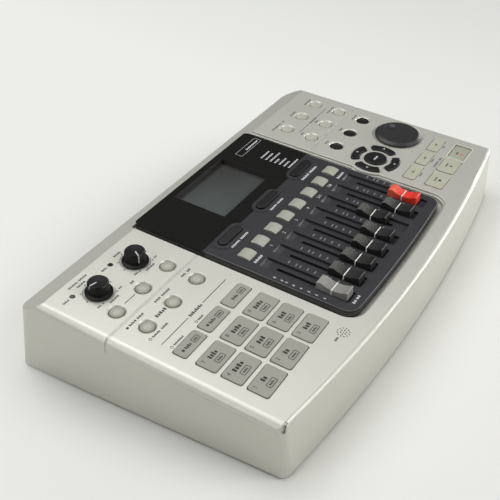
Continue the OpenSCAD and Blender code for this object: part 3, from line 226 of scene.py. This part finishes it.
# finishes of the carried pieces, by their slot in the record
capSheenFade = {"over": "Generated", "start": (0, 0.5, 0), "end": (0, 0.8, 0)}  # painted sheen, lighter up the back of a fader cap
finishes = {
    "case_silver": {"colour": tone(205, 204, 195), "rough": 0.42, "metal": 0.45, "spread": 0.03, "grainScale": 5200,
                    "grainShare": 0.6, "bump": 0.06, "edge": 0.0008},
    "cover_dark": {"colour": tone(58, 58, 60), "rough": 0.6, "spread": 0.1, "bump": 0.25, "grainScale": 1700},
    "panel_dark": {"colour": tone(48, 48, 51), "rough": 0.5, "spread": 0.06, "bump": 0.15, "gloss": 0.3,
                   "edge": 0.0004},
    # the window's black is lifted a little, partly its own colour and partly a painted reflection of the room
    "window_black": {"colour": tone(32, 32, 31), "rough": 0.1, "roughSpread": 0.03, "spread": 0.08, "bump": 0.01,
                     "gloss": 0.2, "edge": 0.0001},
    # painted shade: the display is lighter at its front left and darker towards its back right
    "lcd_glass": {"colour": tone(76, 83, 82), "rough": 0.35, "spread": 0.06, "bump": 0.02, "mottleScale": 60,
                  "fade": {"to": tone(54, 54, 52), "start": (-0.02, 0.03, 0.05), "end": (0.02, 0.07, 0.05)}},
    "board_green": {"colour": tone(30, 82, 58), "rough": 0.45, "spread": 0.12, "bump": 0.15, "mottleScale": 160},
    "metal": {"colour": tone(188, 188, 190), "rough": 0.3, "metal": 1.0, "spread": 0.06, "bump": 0.05},
    "socket_black": {"colour": tone(26, 26, 27), "rough": 0.5, "spread": 0.1, "bump": 0.15},
    "foot_rubber": {"colour": tone(32, 32, 32), "rough": 0.85, "spread": 0.15, "bump": 0.4, "grainScale": 1500},
    "lamp_lens": {"colour": tone(52, 50, 47), "rough": 0.12, "spread": 0.1, "bump": 0.02, "coat": 0.6},
    "knob_black": {"colour": tone(16, 16, 17), "rough": 0.38, "spread": 0.1, "bump": 0.08, "gloss": 0.22},
    "dial_dark": {"colour": tone(42, 42, 43), "rough": 0.42, "spread": 0.06, "bump": 0.12, "edge": 0.0006},
    "mode_black": {"colour": tone(25, 25, 26), "rough": 0.35, "spread": 0.08, "bump": 0.06, "edge": 0.0006},
    # the fader caps are painted lighter up their backs as a painted sheen, the black ones only where they face up
    "cap_black": {"colour": tone(36, 36, 35), "rough": 0.45, "spread": 0.08, "bump": 0.05, "gloss": 0.35,
                  "edge": 0.00015, "fade": {**capSheenFade, "to": tone(92, 92, 88), "facing": (0, 0, 1)}},
    "cap_grey": {"colour": tone(134, 133, 127), "rough": 0.5, "spread": 0.04, "bump": 0.05, "edge": 0.00015,
                 "fade": {**capSheenFade, "to": tone(150, 149, 143)}},
    "cap_red": {"colour": tone(226, 58, 46), "rough": 0.4, "spread": 0.05, "bump": 0.05, "edge": 0.00015,
                "fade": {**capSheenFade, "to": tone(234, 104, 84)}},
    "pad_rubber": {"colour": tone(152, 152, 142), "rough": 0.7, "spread": 0.05, "bump": 0.3, "grainScale": 1500,
                   "edge": 0.0005},
    "key_black": {"colour": tone(25, 25, 26), "rough": 0.35, "spread": 0.08, "bump": 0.04, "edge": 0.0008},
    "key_clear": {"colour": tone(176, 176, 162), "rough": 0.4, "spread": 0.03, "bump": 0.05, "glow": 0.1},
    "status_clear": {"colour": tone(164, 165, 154), "rough": 0.4, "spread": 0.03, "bump": 0.05, "glow": 0.15},
    "transport_clear": {"colour": tone(176, 176, 158), "rough": 0.45, "spread": 0.03, "bump": 0.06, "glow": 0.1,
                        "edge": 0.0007},
    "record_clear": {"colour": tone(162, 163, 147), "rough": 0.45, "spread": 0.03, "bump": 0.06, "glow": 0.1},
}
ownFinish = {"mode_keys": "mode_black", "record_key": "record_clear"}  # darker than the others of their slot
painted = {slot: finish(slot, look) for slot, look in finishes.items()}
for part in frame["record"]["subparts"]:
    piece = nodes[part["node"]]
    mat = painted[ownFinish.get(part["node"], part["material_slot"])]
    if piece.material_slots:
        piece.material_slots[0].material = mat
    else:
        piece.data.materials.append(mat)
print("finishes:", len(painted))

# pale paper that shows the shadow near the object and fades into a backdrop with painted shade, darker away to the
# right
floorLook = {
    "size": 8.0,
    "steps": 8,
    "paper": {"colour": tone(228, 228, 223), "rough": 0.8, "spread": 0.01, "bump": 0.02, "mottleScale": 3,
              "gloss": 0.2},
    "backdrop": tone(237, 238, 233),
    # painted shade on the backdrop, darker towards the right
    "backdropShadeFade": {"to": tone(210, 211, 206), "start": (0.2, 0, 0), "end": (0.75, -0.1, 0)},
    "middle": (0.0, -0.08, 0),
    "paperTo": 0.2,
    "backdropFrom": 0.31,
}


def layFloor(look):
    mesh = bpy.data.meshes.new("floor")
    bm = bmesh.new()
    bmesh.ops.create_grid(bm, x_segments=look["steps"], y_segments=look["steps"], size=look["size"] / 2)
    bm.to_mesh(mesh)
    bm.free()
    floor = bpy.data.objects.new("floor", mesh)
    scene.collection.objects.link(floor)
    paper = finish("floorPaper", look["paper"])
    tree = paper.node_tree
    place = tree.nodes.new("ShaderNodeTexCoord").outputs["Object"]
    shade = tree.nodes.new("ShaderNodeRGB")
    shade.outputs[0].default_value = look["backdrop"]
    pale = tree.nodes.new("ShaderNodeEmission")
    tree.links.new(fadeTo(tree, shade.outputs[0], place, look["backdropShadeFade"]), pale.inputs["Color"])
    away = measure(tree, "DISTANCE", place, look["middle"])
    beyond = share(tree, away, look["paperTo"], look["backdropFrom"], "SMOOTHSTEP")
    path = tree.nodes.new("ShaderNodeLightPath")
    seen = path.outputs["Is Camera Ray"]
    for ray in ("Is Glossy Ray", "Is Transmission Ray"):
        seen = combine(tree, "MAXIMUM", seen, path.outputs[ray])
    mix = tree.nodes.new("ShaderNodeMixShader")
    tree.links.new(combine(tree, "MULTIPLY", seen, beyond), mix.inputs[0])
    tree.links.new(tree.nodes["Principled BSDF"].outputs["BSDF"], mix.inputs[1])
    tree.links.new(pale.outputs["Emission"], mix.inputs[2])
    tree.links.new(mix.outputs["Shader"], tree.nodes["Material Output"].inputs["Surface"])
    mesh.materials.append(paper)


layFloor(floorLook)
print("floor laid")

# the sloping top: x across, b up the slope from the front corners, n out of it, all in millimetres
top = {"tilt": 5.5, "frontY": -88.498, "frontZ": 41.0}
mm = 0.001
onTop = (Matrix.Translation((0, top["frontY"] * mm, top["frontZ"] * mm))
         @ Matrix.Rotation(math.radians(top["tilt"]), 4, "X"))
faders = {"x": -52.0, "pitch": 16.0, "count": 8}
knobs = ((-128.8, 138.6), (-94.7, 138.6))


def row(bm, points):
    return [bm.verts.new((x * mm, b * mm, n * mm)) for x, b, n in points]


def skin(bm, rows, ring=True, shut=True):  # faces between rows of points, which may be rings and may close on the first
    for a, c in zip(rows, rows[1:] + rows[:1] if shut else rows[1:]):
        for i in range(len(a) if ring else len(a) - 1):
            j = (i + 1) % len(a)
            bm.faces.new((a[i], a[j], c[j], c[i]))


def endCaps(bm, rows):
    for end in (0, -1):
        bm.faces.new([line[end] for line in rows])


def plate(bm, outline, n0, n1):
    low, high = [row(bm, [(x, b, n) for x, b in outline]) for n in (n0, n1)]
    bm.faces.new(high)
    bm.faces.new(low[::-1])
    skin(bm, [low, high], shut=False)


def band(bm, outer, inner, n0, n1):
    lines = ((outer, n0), (outer, n1), (inner, n1), (inner, n0))
    skin(bm, [row(bm, [(x, b, n) for x, b in line]) for line, n in lines])


def bar(bm, profiles):  # a solid between two equal profiles
    sides = [row(bm, points) for points in profiles]
    skin(bm, sides, shut=False)
    for side in sides:
        bm.faces.new(side)


def arc(x, b, r, start, end, steps):
    turns = [start + (end - start) * k / steps for k in range(steps + 1)]
    return [(x + r * math.cos(a), b + r * math.sin(a)) for a in turns]


def roundBox(x0, b0, x1, b1, r, steps=5):
    quarter = math.pi / 2
    mids = ((x1 - r, b1 - r), (x0 + r, b1 - r), (x0 + r, b0 + r), (x1 - r, b0 + r))
    return [p for k, (x, b) in enumerate(mids) for p in arc(x, b, r, k * quarter, (k + 1) * quarter, steps)]


def disc(x, b, r, steps=24):
    return arc(x, b, r, 0, 2 * math.pi, steps)[:-1]


def makePiece(name, bm, mat, body, place=onTop):
    bmesh.ops.recalc_face_normals(bm, faces=bm.faces)
    bm.transform(place)
    mesh = bpy.data.meshes.new(name)
    bm.to_mesh(mesh)
    bm.free()
    piece = bpy.data.objects.new(name, mesh)
    scene.collection.objects.link(piece)
    mesh.materials.append(mat)
    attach(piece, body)


# printing is a thin film let a little into what it is on
film = {"thick": 0.06, "sunk": 0.02, "corner": 0.3, "cornerSteps": 3, "frameCorner": 0.1}
stroke = {"pitch": 0.7, "gap": 0.14, "heights": (1.0, 0.8, 1.0, 0.7)}


def strokes(x0, x1, b, h):  # a row of short strokes, the size of fine printing
    count = max(round((x1 - x0) / (stroke["pitch"] * h)), 1)
    pitch = (x1 - x0) / count
    for k in range(count):
        tall = h * stroke["heights"][k % len(stroke["heights"])]
        yield x0 + (k + stroke["gap"]) * pitch, x0 + (k + 1 - stroke["gap"]) * pitch, b - (h - tall) / 2, tall


def numeral(bm, text, x, b, size, n):
    data = bpy.data.curves.new("numeral", "FONT")
    data.body = text
    data.size = size * mm
    data.align_x = "CENTER"
    data.align_y = "CENTER"
    data.extrude = film["thick"] * mm / 2
    holder = bpy.data.objects.new("numeral", data)
    mesh = bpy.data.meshes.new_from_object(holder)
    mesh.transform(Matrix.Translation((x * mm, b * mm, (n - film["thick"] / 2) * mm)))
    bm.from_mesh(mesh)
    bpy.data.objects.remove(holder)
    bpy.data.meshes.remove(mesh)


def markPiece(name, marks, ground, body, mat):
    n0 = ground - film["sunk"]
    n1 = n0 + film["thick"]
    bm = bmesh.new()
    fine = [line for word in marks.get("words", ()) for line in strokes(*word)]
    for x0, x1, b, h in list(marks.get("bars", ())) + fine:
        corner = min(h, x1 - x0) * film["corner"]
        plate(bm, roundBox(x0, b - h / 2, x1, b + h / 2, corner, film["cornerSteps"]), n0, n1)
    for x, b, r in marks.get("dots", ()):
        plate(bm, disc(x, b, r), n0, n1)
    for x, b, r, w in marks.get("rings", ()):
        band(bm, disc(x, b, r), disc(x, b, r - w), n0, n1)
    for x0, b0, x1, b1, r, w in marks.get("frames", ()):
        inner = roundBox(x0 + w, b0 + w, x1 - w, b1 - w, max(r - w, film["frameCorner"]))
        band(bm, roundBox(x0, b0, x1, b1, r), inner, n0, n1)
    for outline in marks.get("shapes", ()):
        plate(bm, outline, n0, n1)
    for text, x, b, size in marks.get("numbers", ()):
        numeral(bm, text, x, b, size, n1)
    makePiece(name, bm, mat, body)


inkBase = {"bump": 0.05, "edge": 0.00002}
inks = {
    "greyInk": {"colour": tone(50, 50, 48), "rough": 0.6, "spread": 0.08},
    "paleInk": {"colour": tone(94, 94, 89), "rough": 0.6, "spread": 0.06},
    "darkInk": {"colour": tone(42, 42, 40), "rough": 0.6, "spread": 0.08},
    "whiteInk": {"colour": tone(200, 202, 202), "rough": 0.5, "spread": 0.05},
    "dimInk": {"colour": tone(128, 129, 131), "rough": 0.5, "spread": 0.05},
    "frameInk": {"colour": tone(164, 166, 166), "rough": 0.5, "spread": 0.05},
    # pale ink for the painted highlight round the record key
    "rimHighlightInk": {"colour": tone(216, 216, 206), "rough": 0.4, "spread": 0.03},
    "redInk": {"colour": tone(200, 118, 104), "rough": 0.5, "spread": 0.06},
}
ink = {name: finish(name, {**inkBase, **look}) for name, look in inks.items()}

# printing on the left of the case: strokes, dots and rules
leftPrint = {
    "words": [
        (-137, -129, 154.7, 1.5), (-128, -121, 154.7, 1.5), (-133, -126, 151.5, 1.5), (-99.5, -93, 151.6, 1.5),
        (-148.4, -143.4, 148.6, 1.5), (-114, -109.4, 148.9, 1.5), (-140, -136.8, 130.5, 1.2),
        (-120.4, -117.6, 130.8, 1.2), (-106, -102.4, 130.8, 1.2), (-86.4, -83.8, 130.9, 1.2),
        (-132.6, -124.8, 127.5, 1.6), (-113.2, -110, 128.1, 1.6), (-98.6, -90.6, 127.6, 1.6),
        (-141.6, -135.6, 106.6, 1.6), (-134.6, -129, 106.6, 1.6), (-118.4, -113, 106.6, 1.6),
        (-111.6, -104, 106.6, 1.6), (-91.6, -87.4, 106.8, 1.6), (-86, -82.6, 106.8, 1.6), (-127.8, -118.6, 98.7, 2.4),
        (-141.6, -135, 90.6, 1.5), (-133.6, -127.8, 90.6, 1.5), (-117, -104.8, 83.4, 2.2), (-140, -131.4, 77.5, 1.4),
        (-116.6, -111.8, 77.7, 1.4), (-89.4, -85.6, 5.8, 1.5),
    ],
    "bars": [(-128.4, -118.8, 120.1, 0.5), (-143.6, -118.4, 83.2, 0.5), (-103.4, -79, 83.5, 0.5)],
    "dots": [(-143.5, 106.4, 0.9)],
    "rings": [(-143.4, 90.7, 1.0, 0.35), (-142, 77.5, 0.95, 0.35), (-118.3, 77.7, 0.95, 0.35)],
}
knobScale = {"turns": (-143, -90, -45, 0, 45, 90, 143), "radius": 10.5, "dot": 0.52}  # dots round the two knobs
for x, b in knobs:
    for turn in knobScale["turns"]:
        a = math.radians(90 - turn)
        spot = (x + knobScale["radius"] * math.cos(a), b + knobScale["radius"] * math.sin(a), knobScale["dot"])
        leftPrint["dots"].append(spot)
markPiece("leftPrint", leftPrint, 0, "base", ink["greyInk"])

# printing on the right of the case
rightPrint = {
    "words": [
        (85, 98, 147.4, 1.6), (99.6, 103, 147.4, 1.6), (112, 120, 147, 1.6), (134, 144.4, 146.4, 1.6),
        (91.6, 96.6, 126.5, 1.5), (113.6, 118.6, 126, 1.5), (132.6, 138.4, 125.4, 1.5), (139.6, 144.6, 125.4, 1.5),
        (110.6, 122, 129.2, 2.0), (91, 96, 105.3, 1.5), (113.6, 118.4, 105.1, 1.5), (134.6, 143.4, 104.8, 1.5),
        (89.8, 95, 29.9, 1.4), (112, 117, 29.9, 1.4), (135, 138.6, 29.9, 1.4), (107, 116, 26, 1.6),
        (117.4, 122, 26, 1.6),
    ],
    "bars": [(94, 109.6, 129.2, 0.5), (123, 138.6, 129.2, 0.5)],
}
markPiece("rightPrint", rightPrint, 0, "base", ink["paleInk"])

# printing on the fader panel: track numbers, and scales beside the lanes
panelPrint = {
    "words": [
        (-51.4, -42.6, 97, 1.9), (-41.2, -32.6, 97, 1.9), (-4, 4, 97, 1.9), (5, 12.4, 97, 1.9), (39, 48.6, 96.6, 1.9),
        (50, 60, 96.6, 1.9), (-56.4, -47.6, 77.3, 1.9), (54.6, 64, 77, 1.9), (-56.2, -52.6, 10.7, 1.7),
        (-51.6, -47.8, 10.7, 1.7),
    ],
    "numbers": [("1", -36, 77.2, 3.2), ("2", -20, 77.2, 3.2), ("3", -4, 77.2, 3.2), ("4", 12, 77.2, 3.2),
                ("5/6", 28, 77.2, 3.2), ("7/8", 43.4, 77.2, 3.2)],
}
scale = {
    "at": (60.2, 55, 52.2, 47.1, 42.2, 36.9, 31.9, 26.4), "numberX": -61.4, "numberSize": 2.6,
    "leftBar": (-61.9, -60.9), "rightBar": (66.6, 69.6), "barHigh": 0.8, "laneHalf": 1.3, "laneHigh": 0.7,
}
leftScale = {
    "numbers": [(str(len(scale["at"]) - k), scale["numberX"], b, scale["numberSize"])
                for k, b in enumerate(scale["at"])],
    "bars": [(*scale["leftBar"], b, scale["barHigh"]) for b in scale["at"]],
}
between = [faders["x"] + (k + 0.5) * faders["pitch"] for k in range(faders["count"] - 1)]
laneScale = {
    "bars": [(x - scale["laneHalf"], x + scale["laneHalf"], b, scale["laneHigh"]) for x in between for b in scale["at"]]
    + [(*scale["rightBar"], b, scale["barHigh"]) for b in scale["at"]],
}
markPiece("panelPrint", panelPrint, 0, "base", ink["whiteInk"])
markPiece("leftScale", leftScale, 0, "base", ink["whiteInk"])
markPiece("laneScale", laneScale, 0, "base", ink["dimInk"])

# printing on the window
windowPrint = {
    "words": [(50.4, 66, 149.4, 1.5), (47, 58.4, 134.6, 1.5), (47, 57.4, 130.8, 1.5), (47, 60.8, 127, 1.5),
              (47, 53.6, 123.3, 1.5), (47, 57, 119.6, 1.5), (47, 55.2, 115.8, 1.5), (47, 60.8, 112, 1.5)],
}
windowLine = {"frames": [(41, 147, 68.2, 153, 0.9, 0.35)]}
markPiece("windowPrint", windowPrint, 0, "base", ink["whiteInk"])
markPiece("windowLine", windowLine, 0, "base", ink["frameInk"])
print("printing on the case, panel and window")

# pads carry a number, a row of strokes and a small framed field, placed from the middle of the pad
padPrint = {
    "x": -134.6, "b": 21.9, "pitchX": 23.5, "pitchB": 15.95, "height": 0.4, "columns": 3,
    "wordHalf": (2.0, 2.0, 3.0, 4.4, 3.2, 3.0, 3.6, 4.0, 4.0), "wordUp": 2.3, "wordHigh": 2.9,
    "fieldHalf": 3.6, "fieldLow": -4.3, "fieldHigh": -0.7, "fieldCorner": 0.5, "fieldLine": 0.4,
    "smallHalf": 2.2, "smallUp": -2.5, "smallHigh": 1.4, "numberX": -7.3, "numberUp": 3.2, "numberSize": 3.4,
}


def padMarks(k, look):
    x = look["x"] + (k % look["columns"]) * look["pitchX"]
    b = look["b"] + (k // look["columns"]) * look["pitchB"]
    half, field, small = look["wordHalf"][k], look["fieldHalf"], look["smallHalf"]
    return {
        "words": [(x - half, x + half, b + look["wordUp"], look["wordHigh"]),
                  (x - small, x + small, b + look["smallUp"], look["smallHigh"])],
        "frames": [(x - field, b + look["fieldLow"], x + field, b + look["fieldHigh"], look["fieldCorner"],
                    look["fieldLine"])],
        "numbers": [(str(k + 1), x + look["numberX"], b + look["numberUp"], look["numberSize"])],
    }


for k in range(len(padPrint["wordHalf"])):
    markPiece("padPrint_%d" % (k + 1), padMarks(k, padPrint), padPrint["height"], "pad_%d" % (k + 1), ink["darkInk"])

# the three keys above the pads have a framed field too, and two of them a dot
rhythm = {"word": (-4.6, 0.6, 70.6, 2.0), "small": (3, 6.6, 70.4, 1.4), "field": (2, 68.6, 7.6, 72.2),
          "dot": (-6.4, 70.6, 0.9), "dotted": 2}
rhythmPrint = {"dots": [], "words": [], "frames": []}
for k in range(padPrint["columns"]):
    x = padPrint["x"] + k * padPrint["pitchX"]
    for x0, x1, b, h in (rhythm["word"], rhythm["small"]):
        rhythmPrint["words"].append((x + x0, x + x1, b, h))
    x0, b0, x1, b1 = rhythm["field"]
    rhythmPrint["frames"].append((x + x0, b0, x + x1, b1, padPrint["fieldCorner"], padPrint["fieldLine"]))
    if k < rhythm["dotted"]:
        x0, b, r = rhythm["dot"]
        rhythmPrint["dots"].append((x + x0, b, r))
markPiece("rhythmPrint", rhythmPrint, padPrint["height"], "rhythm_keys", ink["darkInk"])


def arrow(x, b, size, turn):  # triangle that points along turn, in degrees
    corners = [math.radians(turn + a) for a in (0, 120, 240)]
    return [(x + size * math.cos(a), b + size * math.sin(a)) for a in corners]


# transport symbols
transport = {"x": (92.5, 114.4, 136.3), "low": 17.1, "high": 35.7, "height": 0.4, "recordHeight": -1.2,
             "rimX": 10.6, "rimB": 7.0, "rimCorner": 1.4, "rimLine": 0.45}
tx, tl, th = transport["x"], transport["low"], transport["high"]
transportMarks = {
    "return_key": {"bars": [(tx[0] - 1.8, tx[0] - 1.2, th, 1.9)], "shapes": [arrow(tx[0] + 0.3, th, 1.2, 180)]},
    "rewind_key": {"shapes": [arrow(tx[1] - 0.8, th, 1.1, 180), arrow(tx[1] + 1, th, 1.1, 180)]},
    "forward_key": {"shapes": [arrow(tx[2] - 1, th, 1.1, 0), arrow(tx[2] + 0.8, th, 1.1, 0)]},
    "stop_key": {"words": [(tx[0] - 2.6, tx[0] + 2.6, tl + 1.8, 1.4)],
                 "bars": [(tx[0] - 1.1, tx[0] + 1.1, tl - 1.4, 2.0)]},
    "play_key": {"words": [(tx[1] - 2.4, tx[1] + 2.4, tl + 1.8, 1.4)], "shapes": [arrow(tx[1], tl - 1.4, 1.4, 0)]},
}
for key, marks in transportMarks.items():
    markPiece(key + "Mark", marks, transport["height"], key, ink["greyInk"])
recordBar = {"words": [(tx[2] - 2, tx[2] + 2, tl + 1.8, 1.4)]}
recordDot = {"dots": [(tx[2], tl - 1.4, 1.25)]}
# pale frame round the record key's recess, a painted highlight on its rim
recordRimHighlight = {"frames": [(tx[2] - transport["rimX"], tl - transport["rimB"], tx[2] + transport["rimX"],
                         tl + transport["rimB"], transport["rimCorner"], transport["rimLine"])]}
markPiece("recordBar", recordBar, transport["recordHeight"], "record_key", ink["greyInk"])
markPiece("recordDot", recordDot, transport["recordHeight"], "record_key", ink["redInk"])
markPiece("recordRimHighlight", recordRimHighlight, 0, "base", ink["rimHighlightInk"])

# arrows on the cursor keys, strokes on the key between them
cursor = {"x": 92.8, "b": 65.2, "radius": 14.7, "height": 1.1, "arrow": 1.1, "wordHalf": 2.8, "wordHigh": 1.6}
for k, key in enumerate(("cursor_right", "cursor_up", "cursor_left", "cursor_down")):
    a = math.radians(90 * k)
    x, b = cursor["x"] + cursor["radius"] * math.cos(a), cursor["b"] + cursor["radius"] * math.sin(a)
    markPiece(key + "Mark", {"shapes": [arrow(x, b, cursor["arrow"], 90 * k)]}, cursor["height"], key, ink["whiteInk"])
enterMark = {"words": [(cursor["x"] - cursor["wordHalf"], cursor["x"] + cursor["wordHalf"], cursor["b"],
                        cursor["wordHigh"])]}
markPiece("enterMark", enterMark, cursor["height"], "enter_key", ink["whiteInk"])

# painted shade of the dish: the round keys on the left are painted darker towards their edges
keyShadeRing = {
    "x": (-136.2, -112.0, -87.8), "b": (98.3, 119.71), "edge": -0.34, "dish": 0.5, "radius": 4.45, "thick": 0.07,
    "spans": 3, "steps": 32,
    "rings": {"keyShadeOuter": {"inner": 3.8, "outer": 4.4, "colour": tone(130, 130, 119)},
              "keyShadeInner": {"inner": 2.3, "outer": 3.8, "colour": tone(157, 157, 145)}},
    "finish": {"rough": 0.4, "spread": 0.03, "bump": 0.05, "edge": 0.00002},
}


def keyShadeRingPiece(name, ring, look):
    ball = (look["radius"] ** 2 + look["dish"] ** 2) / (2 * look["dish"])
    out = range(look["spans"] + 1)
    bm = bmesh.new()
    for x in look["x"]:
        for b in look["b"]:
            rows = []
            for side, order in ((1, out), (-1, reversed(out))):  # out along the face, back underneath
                for k in order:
                    r = ring["inner"] + (ring["outer"] - ring["inner"]) * k / look["spans"]
                    n = look["edge"] - look["dish"] + ball - math.sqrt(ball ** 2 - r ** 2) + side * look["thick"]
                    rows.append(row(bm, [(px, pb, n) for px, pb in disc(x, b, r, look["steps"])]))
            skin(bm, rows)
    mat = finish(name, {**look["finish"], "colour": ring["colour"]})
    makePiece(name, bm, mat, "round_keys_left")


for name, ring in keyShadeRing["rings"].items():
    keyShadeRingPiece(name, ring, keyShadeRing)
print("marks on the keys")

# white line over each fader cap and down its sides
capLine = {"b": 24.8, "set": (0.5, 0.5, 0.5, 0.5, 2, 12.6, 1.9, 4.5), "low": 2.92, "foot": -0.4, "half": 4.15,
           "width": 0.8, "thick": 0.05,
           "finish": {"colour": tone(236, 236, 230), "rough": 0.4, "spread": 0.03, "bump": 0.02, "edge": 0.00002}}


def capLinePiece(i, look, mat):
    x = faders["x"] + i * faders["pitch"]
    b = look["b"] + look["set"][i]
    w, t, h = look["width"] / 2, look["thick"], look["half"]
    foot, low = look["foot"], look["low"]
    inside = [(-h, foot), (-h, low), (h, low), (h, foot)]
    outside = [(-h - t, foot), (-h - t, low + t), (h + t, low + t), (h + t, foot)]
    bm = bmesh.new()
    lines = ((inside, b - w), (outside, b - w), (outside, b + w), (inside, b + w))
    rows = [row(bm, [(x + px, side, pn) for px, pn in line]) for line, side in lines]
    skin(bm, rows, ring=False)
    endCaps(bm, rows)
    makePiece("capLine_%d" % (i + 1), bm, mat, "fader_cap_%d" % (i + 1))


capPaint = finish("capPaint", capLine["finish"])
for i in range(faders["count"]):
    capLinePiece(i, capLine, capPaint)
print("fader lines")

# pale pointers let into the two knobs, their corner points measured in from the outer end and down from the top
pointer = {"turn": (76, 150), "width": 0.8, "inner": 1.0, "outer": 6.32, "low": (5.6, 2.6), "high": 8.16, "dish": 0.2,
           "thin": 0.12, "deep": 0.3, "corner": ((0.9, 0.0), (0.1, 0.8)), "cornerBack": ((0.4, 0.9), (1.0, 0.3)),
           "finish": {"colour": tone(196, 197, 199), "rough": 0.4, "spread": 0.03, "bump": 0.02, "edge": 0.00002}}


def pointerPiece(i, look, mat):
    inner, outer, low, high = look["inner"], look["outer"], look["low"][i], look["high"]
    middle = high - look["dish"]
    profile = [(inner, middle - look["thin"]), (inner, middle)]
    profile += [(outer - r, high - n) for r, n in look["corner"]]
    profile += [(outer, low), (outer - look["deep"], low)]
    profile += [(outer - r, high - n) for r, n in look["cornerBack"]]
    bm = bmesh.new()
    bar(bm, [[(side * look["width"] / 2, r, n) for r, n in profile] for side in (-1, 1)])
    x, b = knobs[i]
    turned = Matrix.Rotation(math.radians(look["turn"][i]), 4, "Z")
    makePiece("pointer_%d" % (i + 1), bm, mat, "input_knob_%d" % (i + 1),
              place=onTop @ Matrix.Translation((x * mm, b * mm, 0)) @ turned)


pointerPaint = finish("pointerPaint", pointer["finish"])
for i in range(len(knobs)):
    pointerPiece(i, pointer, pointerPaint)
print("knob pointers")

# gloss window with its opening for the display
opening = {"x0": -27.0, "x1": 31.5, "b0": 118.0, "b1": 158.0, "corner": 0.6, "cornerSteps": 4, "cut": (-6, 4),
           "weld": 1e-6}


def openingLine(look, g):  # the opening's outline, drawn in by g
    low, high = (look["x0"] + g, look["b0"] + g), (look["x1"] - g, look["b1"] - g)
    return roundBox(*low, *high, look["corner"] - g, look["cornerSteps"])


def cutWindow(look):
    mesh = nodes["display_window"].data.copy()
    bm = bmesh.new()
    bm.from_mesh(mesh)
    bmesh.ops.remove_doubles(bm, verts=bm.verts, dist=look["weld"])
    bm.to_mesh(mesh)
    bm.free()
    mesh.materials.clear()
    mesh.materials.append(painted["window_black"])
    glass = bpy.data.objects.new("windowFrame", mesh)
    scene.collection.objects.link(glass)
    cutMesh = bpy.data.meshes.new("openingBlock")
    bm = bmesh.new()
    plate(bm, openingLine(look, 0), *look["cut"])
    bmesh.ops.recalc_face_normals(bm, faces=bm.faces)
    bm.transform(onTop)
    bm.to_mesh(cutMesh)
    bm.free()
    block = bpy.data.objects.new("openingBlock", cutMesh)
    scene.collection.objects.link(block)
    cut = glass.modifiers.new("opening", "BOOLEAN")
    cut.operation = "DIFFERENCE"
    cut.object = block
    made = bpy.data.meshes.new_from_object(glass.evaluated_get(bpy.context.evaluated_depsgraph_get()))
    glass.modifiers.clear()
    glass.data = made
    bpy.data.objects.remove(block)
    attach(glass, "base")
    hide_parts("display_window")


cutWindow(opening)
print("window opening")

# bead along the edge of the fader panel, coloured pale as a painted highlight, with less of the painted highlight down
# its left side
bead = {"x0": -64.75, "x1": 70.95, "radius": 1094.65, "middle": 1098.95, "corner": 8.0, "seam": 107.5,
        "cornerSteps": 8, "frontSteps": 24,
        "profile": ((0.12, -0.05), (0.2, 0.12), (0.4, 0.2), (0.6, 0.12), (0.68, -0.05)),
        "finish": {"colour": tone(78, 78, 79), "rough": 0.3, "spread": 0.06, "bump": 0.05, "edge": 0.00005,
                   "fade": {"to": tone(122, 123, 122), "start": (-0.064, 0, 0), "end": (-0.045, 0, 0)}}}
# dull skirt round the fader panel's wall, a little lighter than the panel
skirt = {**bead, "profile": ((-0.06, -3.6), (-0.06, -0.9), (0.05, -0.9), (0.05, -3.6)),
         "finish": {"colour": tone(76, 75, 72), "rough": 0.7, "spread": 0.06, "bump": 0.1, "edge": 0.00005}}


def panelLine(look, g):  # the fader panel's edge, drawn in by g, from the left seam round the front to the right seam
    x0, x1, r = look["x0"] + g, look["x1"] - g, look["radius"] - g
    corner, middle = look["corner"] - g, look["middle"]
    mids = [(x, middle - math.sqrt((r - corner) ** 2 - x * x)) for x in (x0 + corner, x1 - corner)]
    turn = [math.atan2(b - middle, x) for x, b in mids]
    left = arc(*mids[0], corner, -math.pi, turn[0], look["cornerSteps"])
    front = arc(0, middle, r, turn[0], turn[1], look["frontSteps"])[1:-1]
    right = arc(*mids[1], corner, turn[1], 0, look["cornerSteps"])
    return [(x0, look["seam"])] + left + front + right + [(x1, look["seam"])]


def edgePiece(name, look):
    bm = bmesh.new()
    rows = [row(bm, [(x, b, n) for x, b in panelLine(look, g)]) for g, n in look["profile"]]
    skin(bm, rows, ring=False)
    endCaps(bm, rows)
    makePiece(name, bm, finish(name, look["finish"]), "base")


edgePiece("panelBeadHighlight", bead)
edgePiece("panelSkirt", skirt)

# sloping back end of each fader lane, laid over the lane's end wall and coloured a little lighter than the panel as a
# painted highlight
laneEnd = {"half": 4.88, "profile": ((73.72, -0.03), (72.6, -1.25), (69.4, -1.76), (69.4, -1.82), (73.72, -1.82)),
           "finish": {"colour": tone(54, 54, 56), "rough": 0.45, "spread": 0.06, "bump": 0.08, "edge": 0.0001}}


def laneEndPiece(look):
    bm = bmesh.new()
    for i in range(faders["count"]):
        x = faders["x"] + i * faders["pitch"]
        bar(bm, [[(side, b, n) for b, n in look["profile"]] for side in (x - look["half"], x + look["half"])])
    makePiece("laneEnds", bm, finish("laneEnds", look["finish"]), "base")


laneEndPiece(laneEnd)
print("panel edge and lane ends")

# dull lining between the window and the display
well = {"gaps": (0.01, 0.09), "depth": (-4.45, -0.04),
        "finish": {"colour": tone(57, 54, 53), "rough": 0.8, "spread": 0.06, "bump": 0.05, "gloss": 0.2,
                   "edge": 0.00002}}


def wellPiece(look):
    bm = bmesh.new()
    band(bm, *[openingLine(opening, g) for g in look["gaps"]], *look["depth"])
    makePiece("displayWell", bm, finish("displayWell", look["finish"]), "base")


wellPiece(well)
print("display lining")
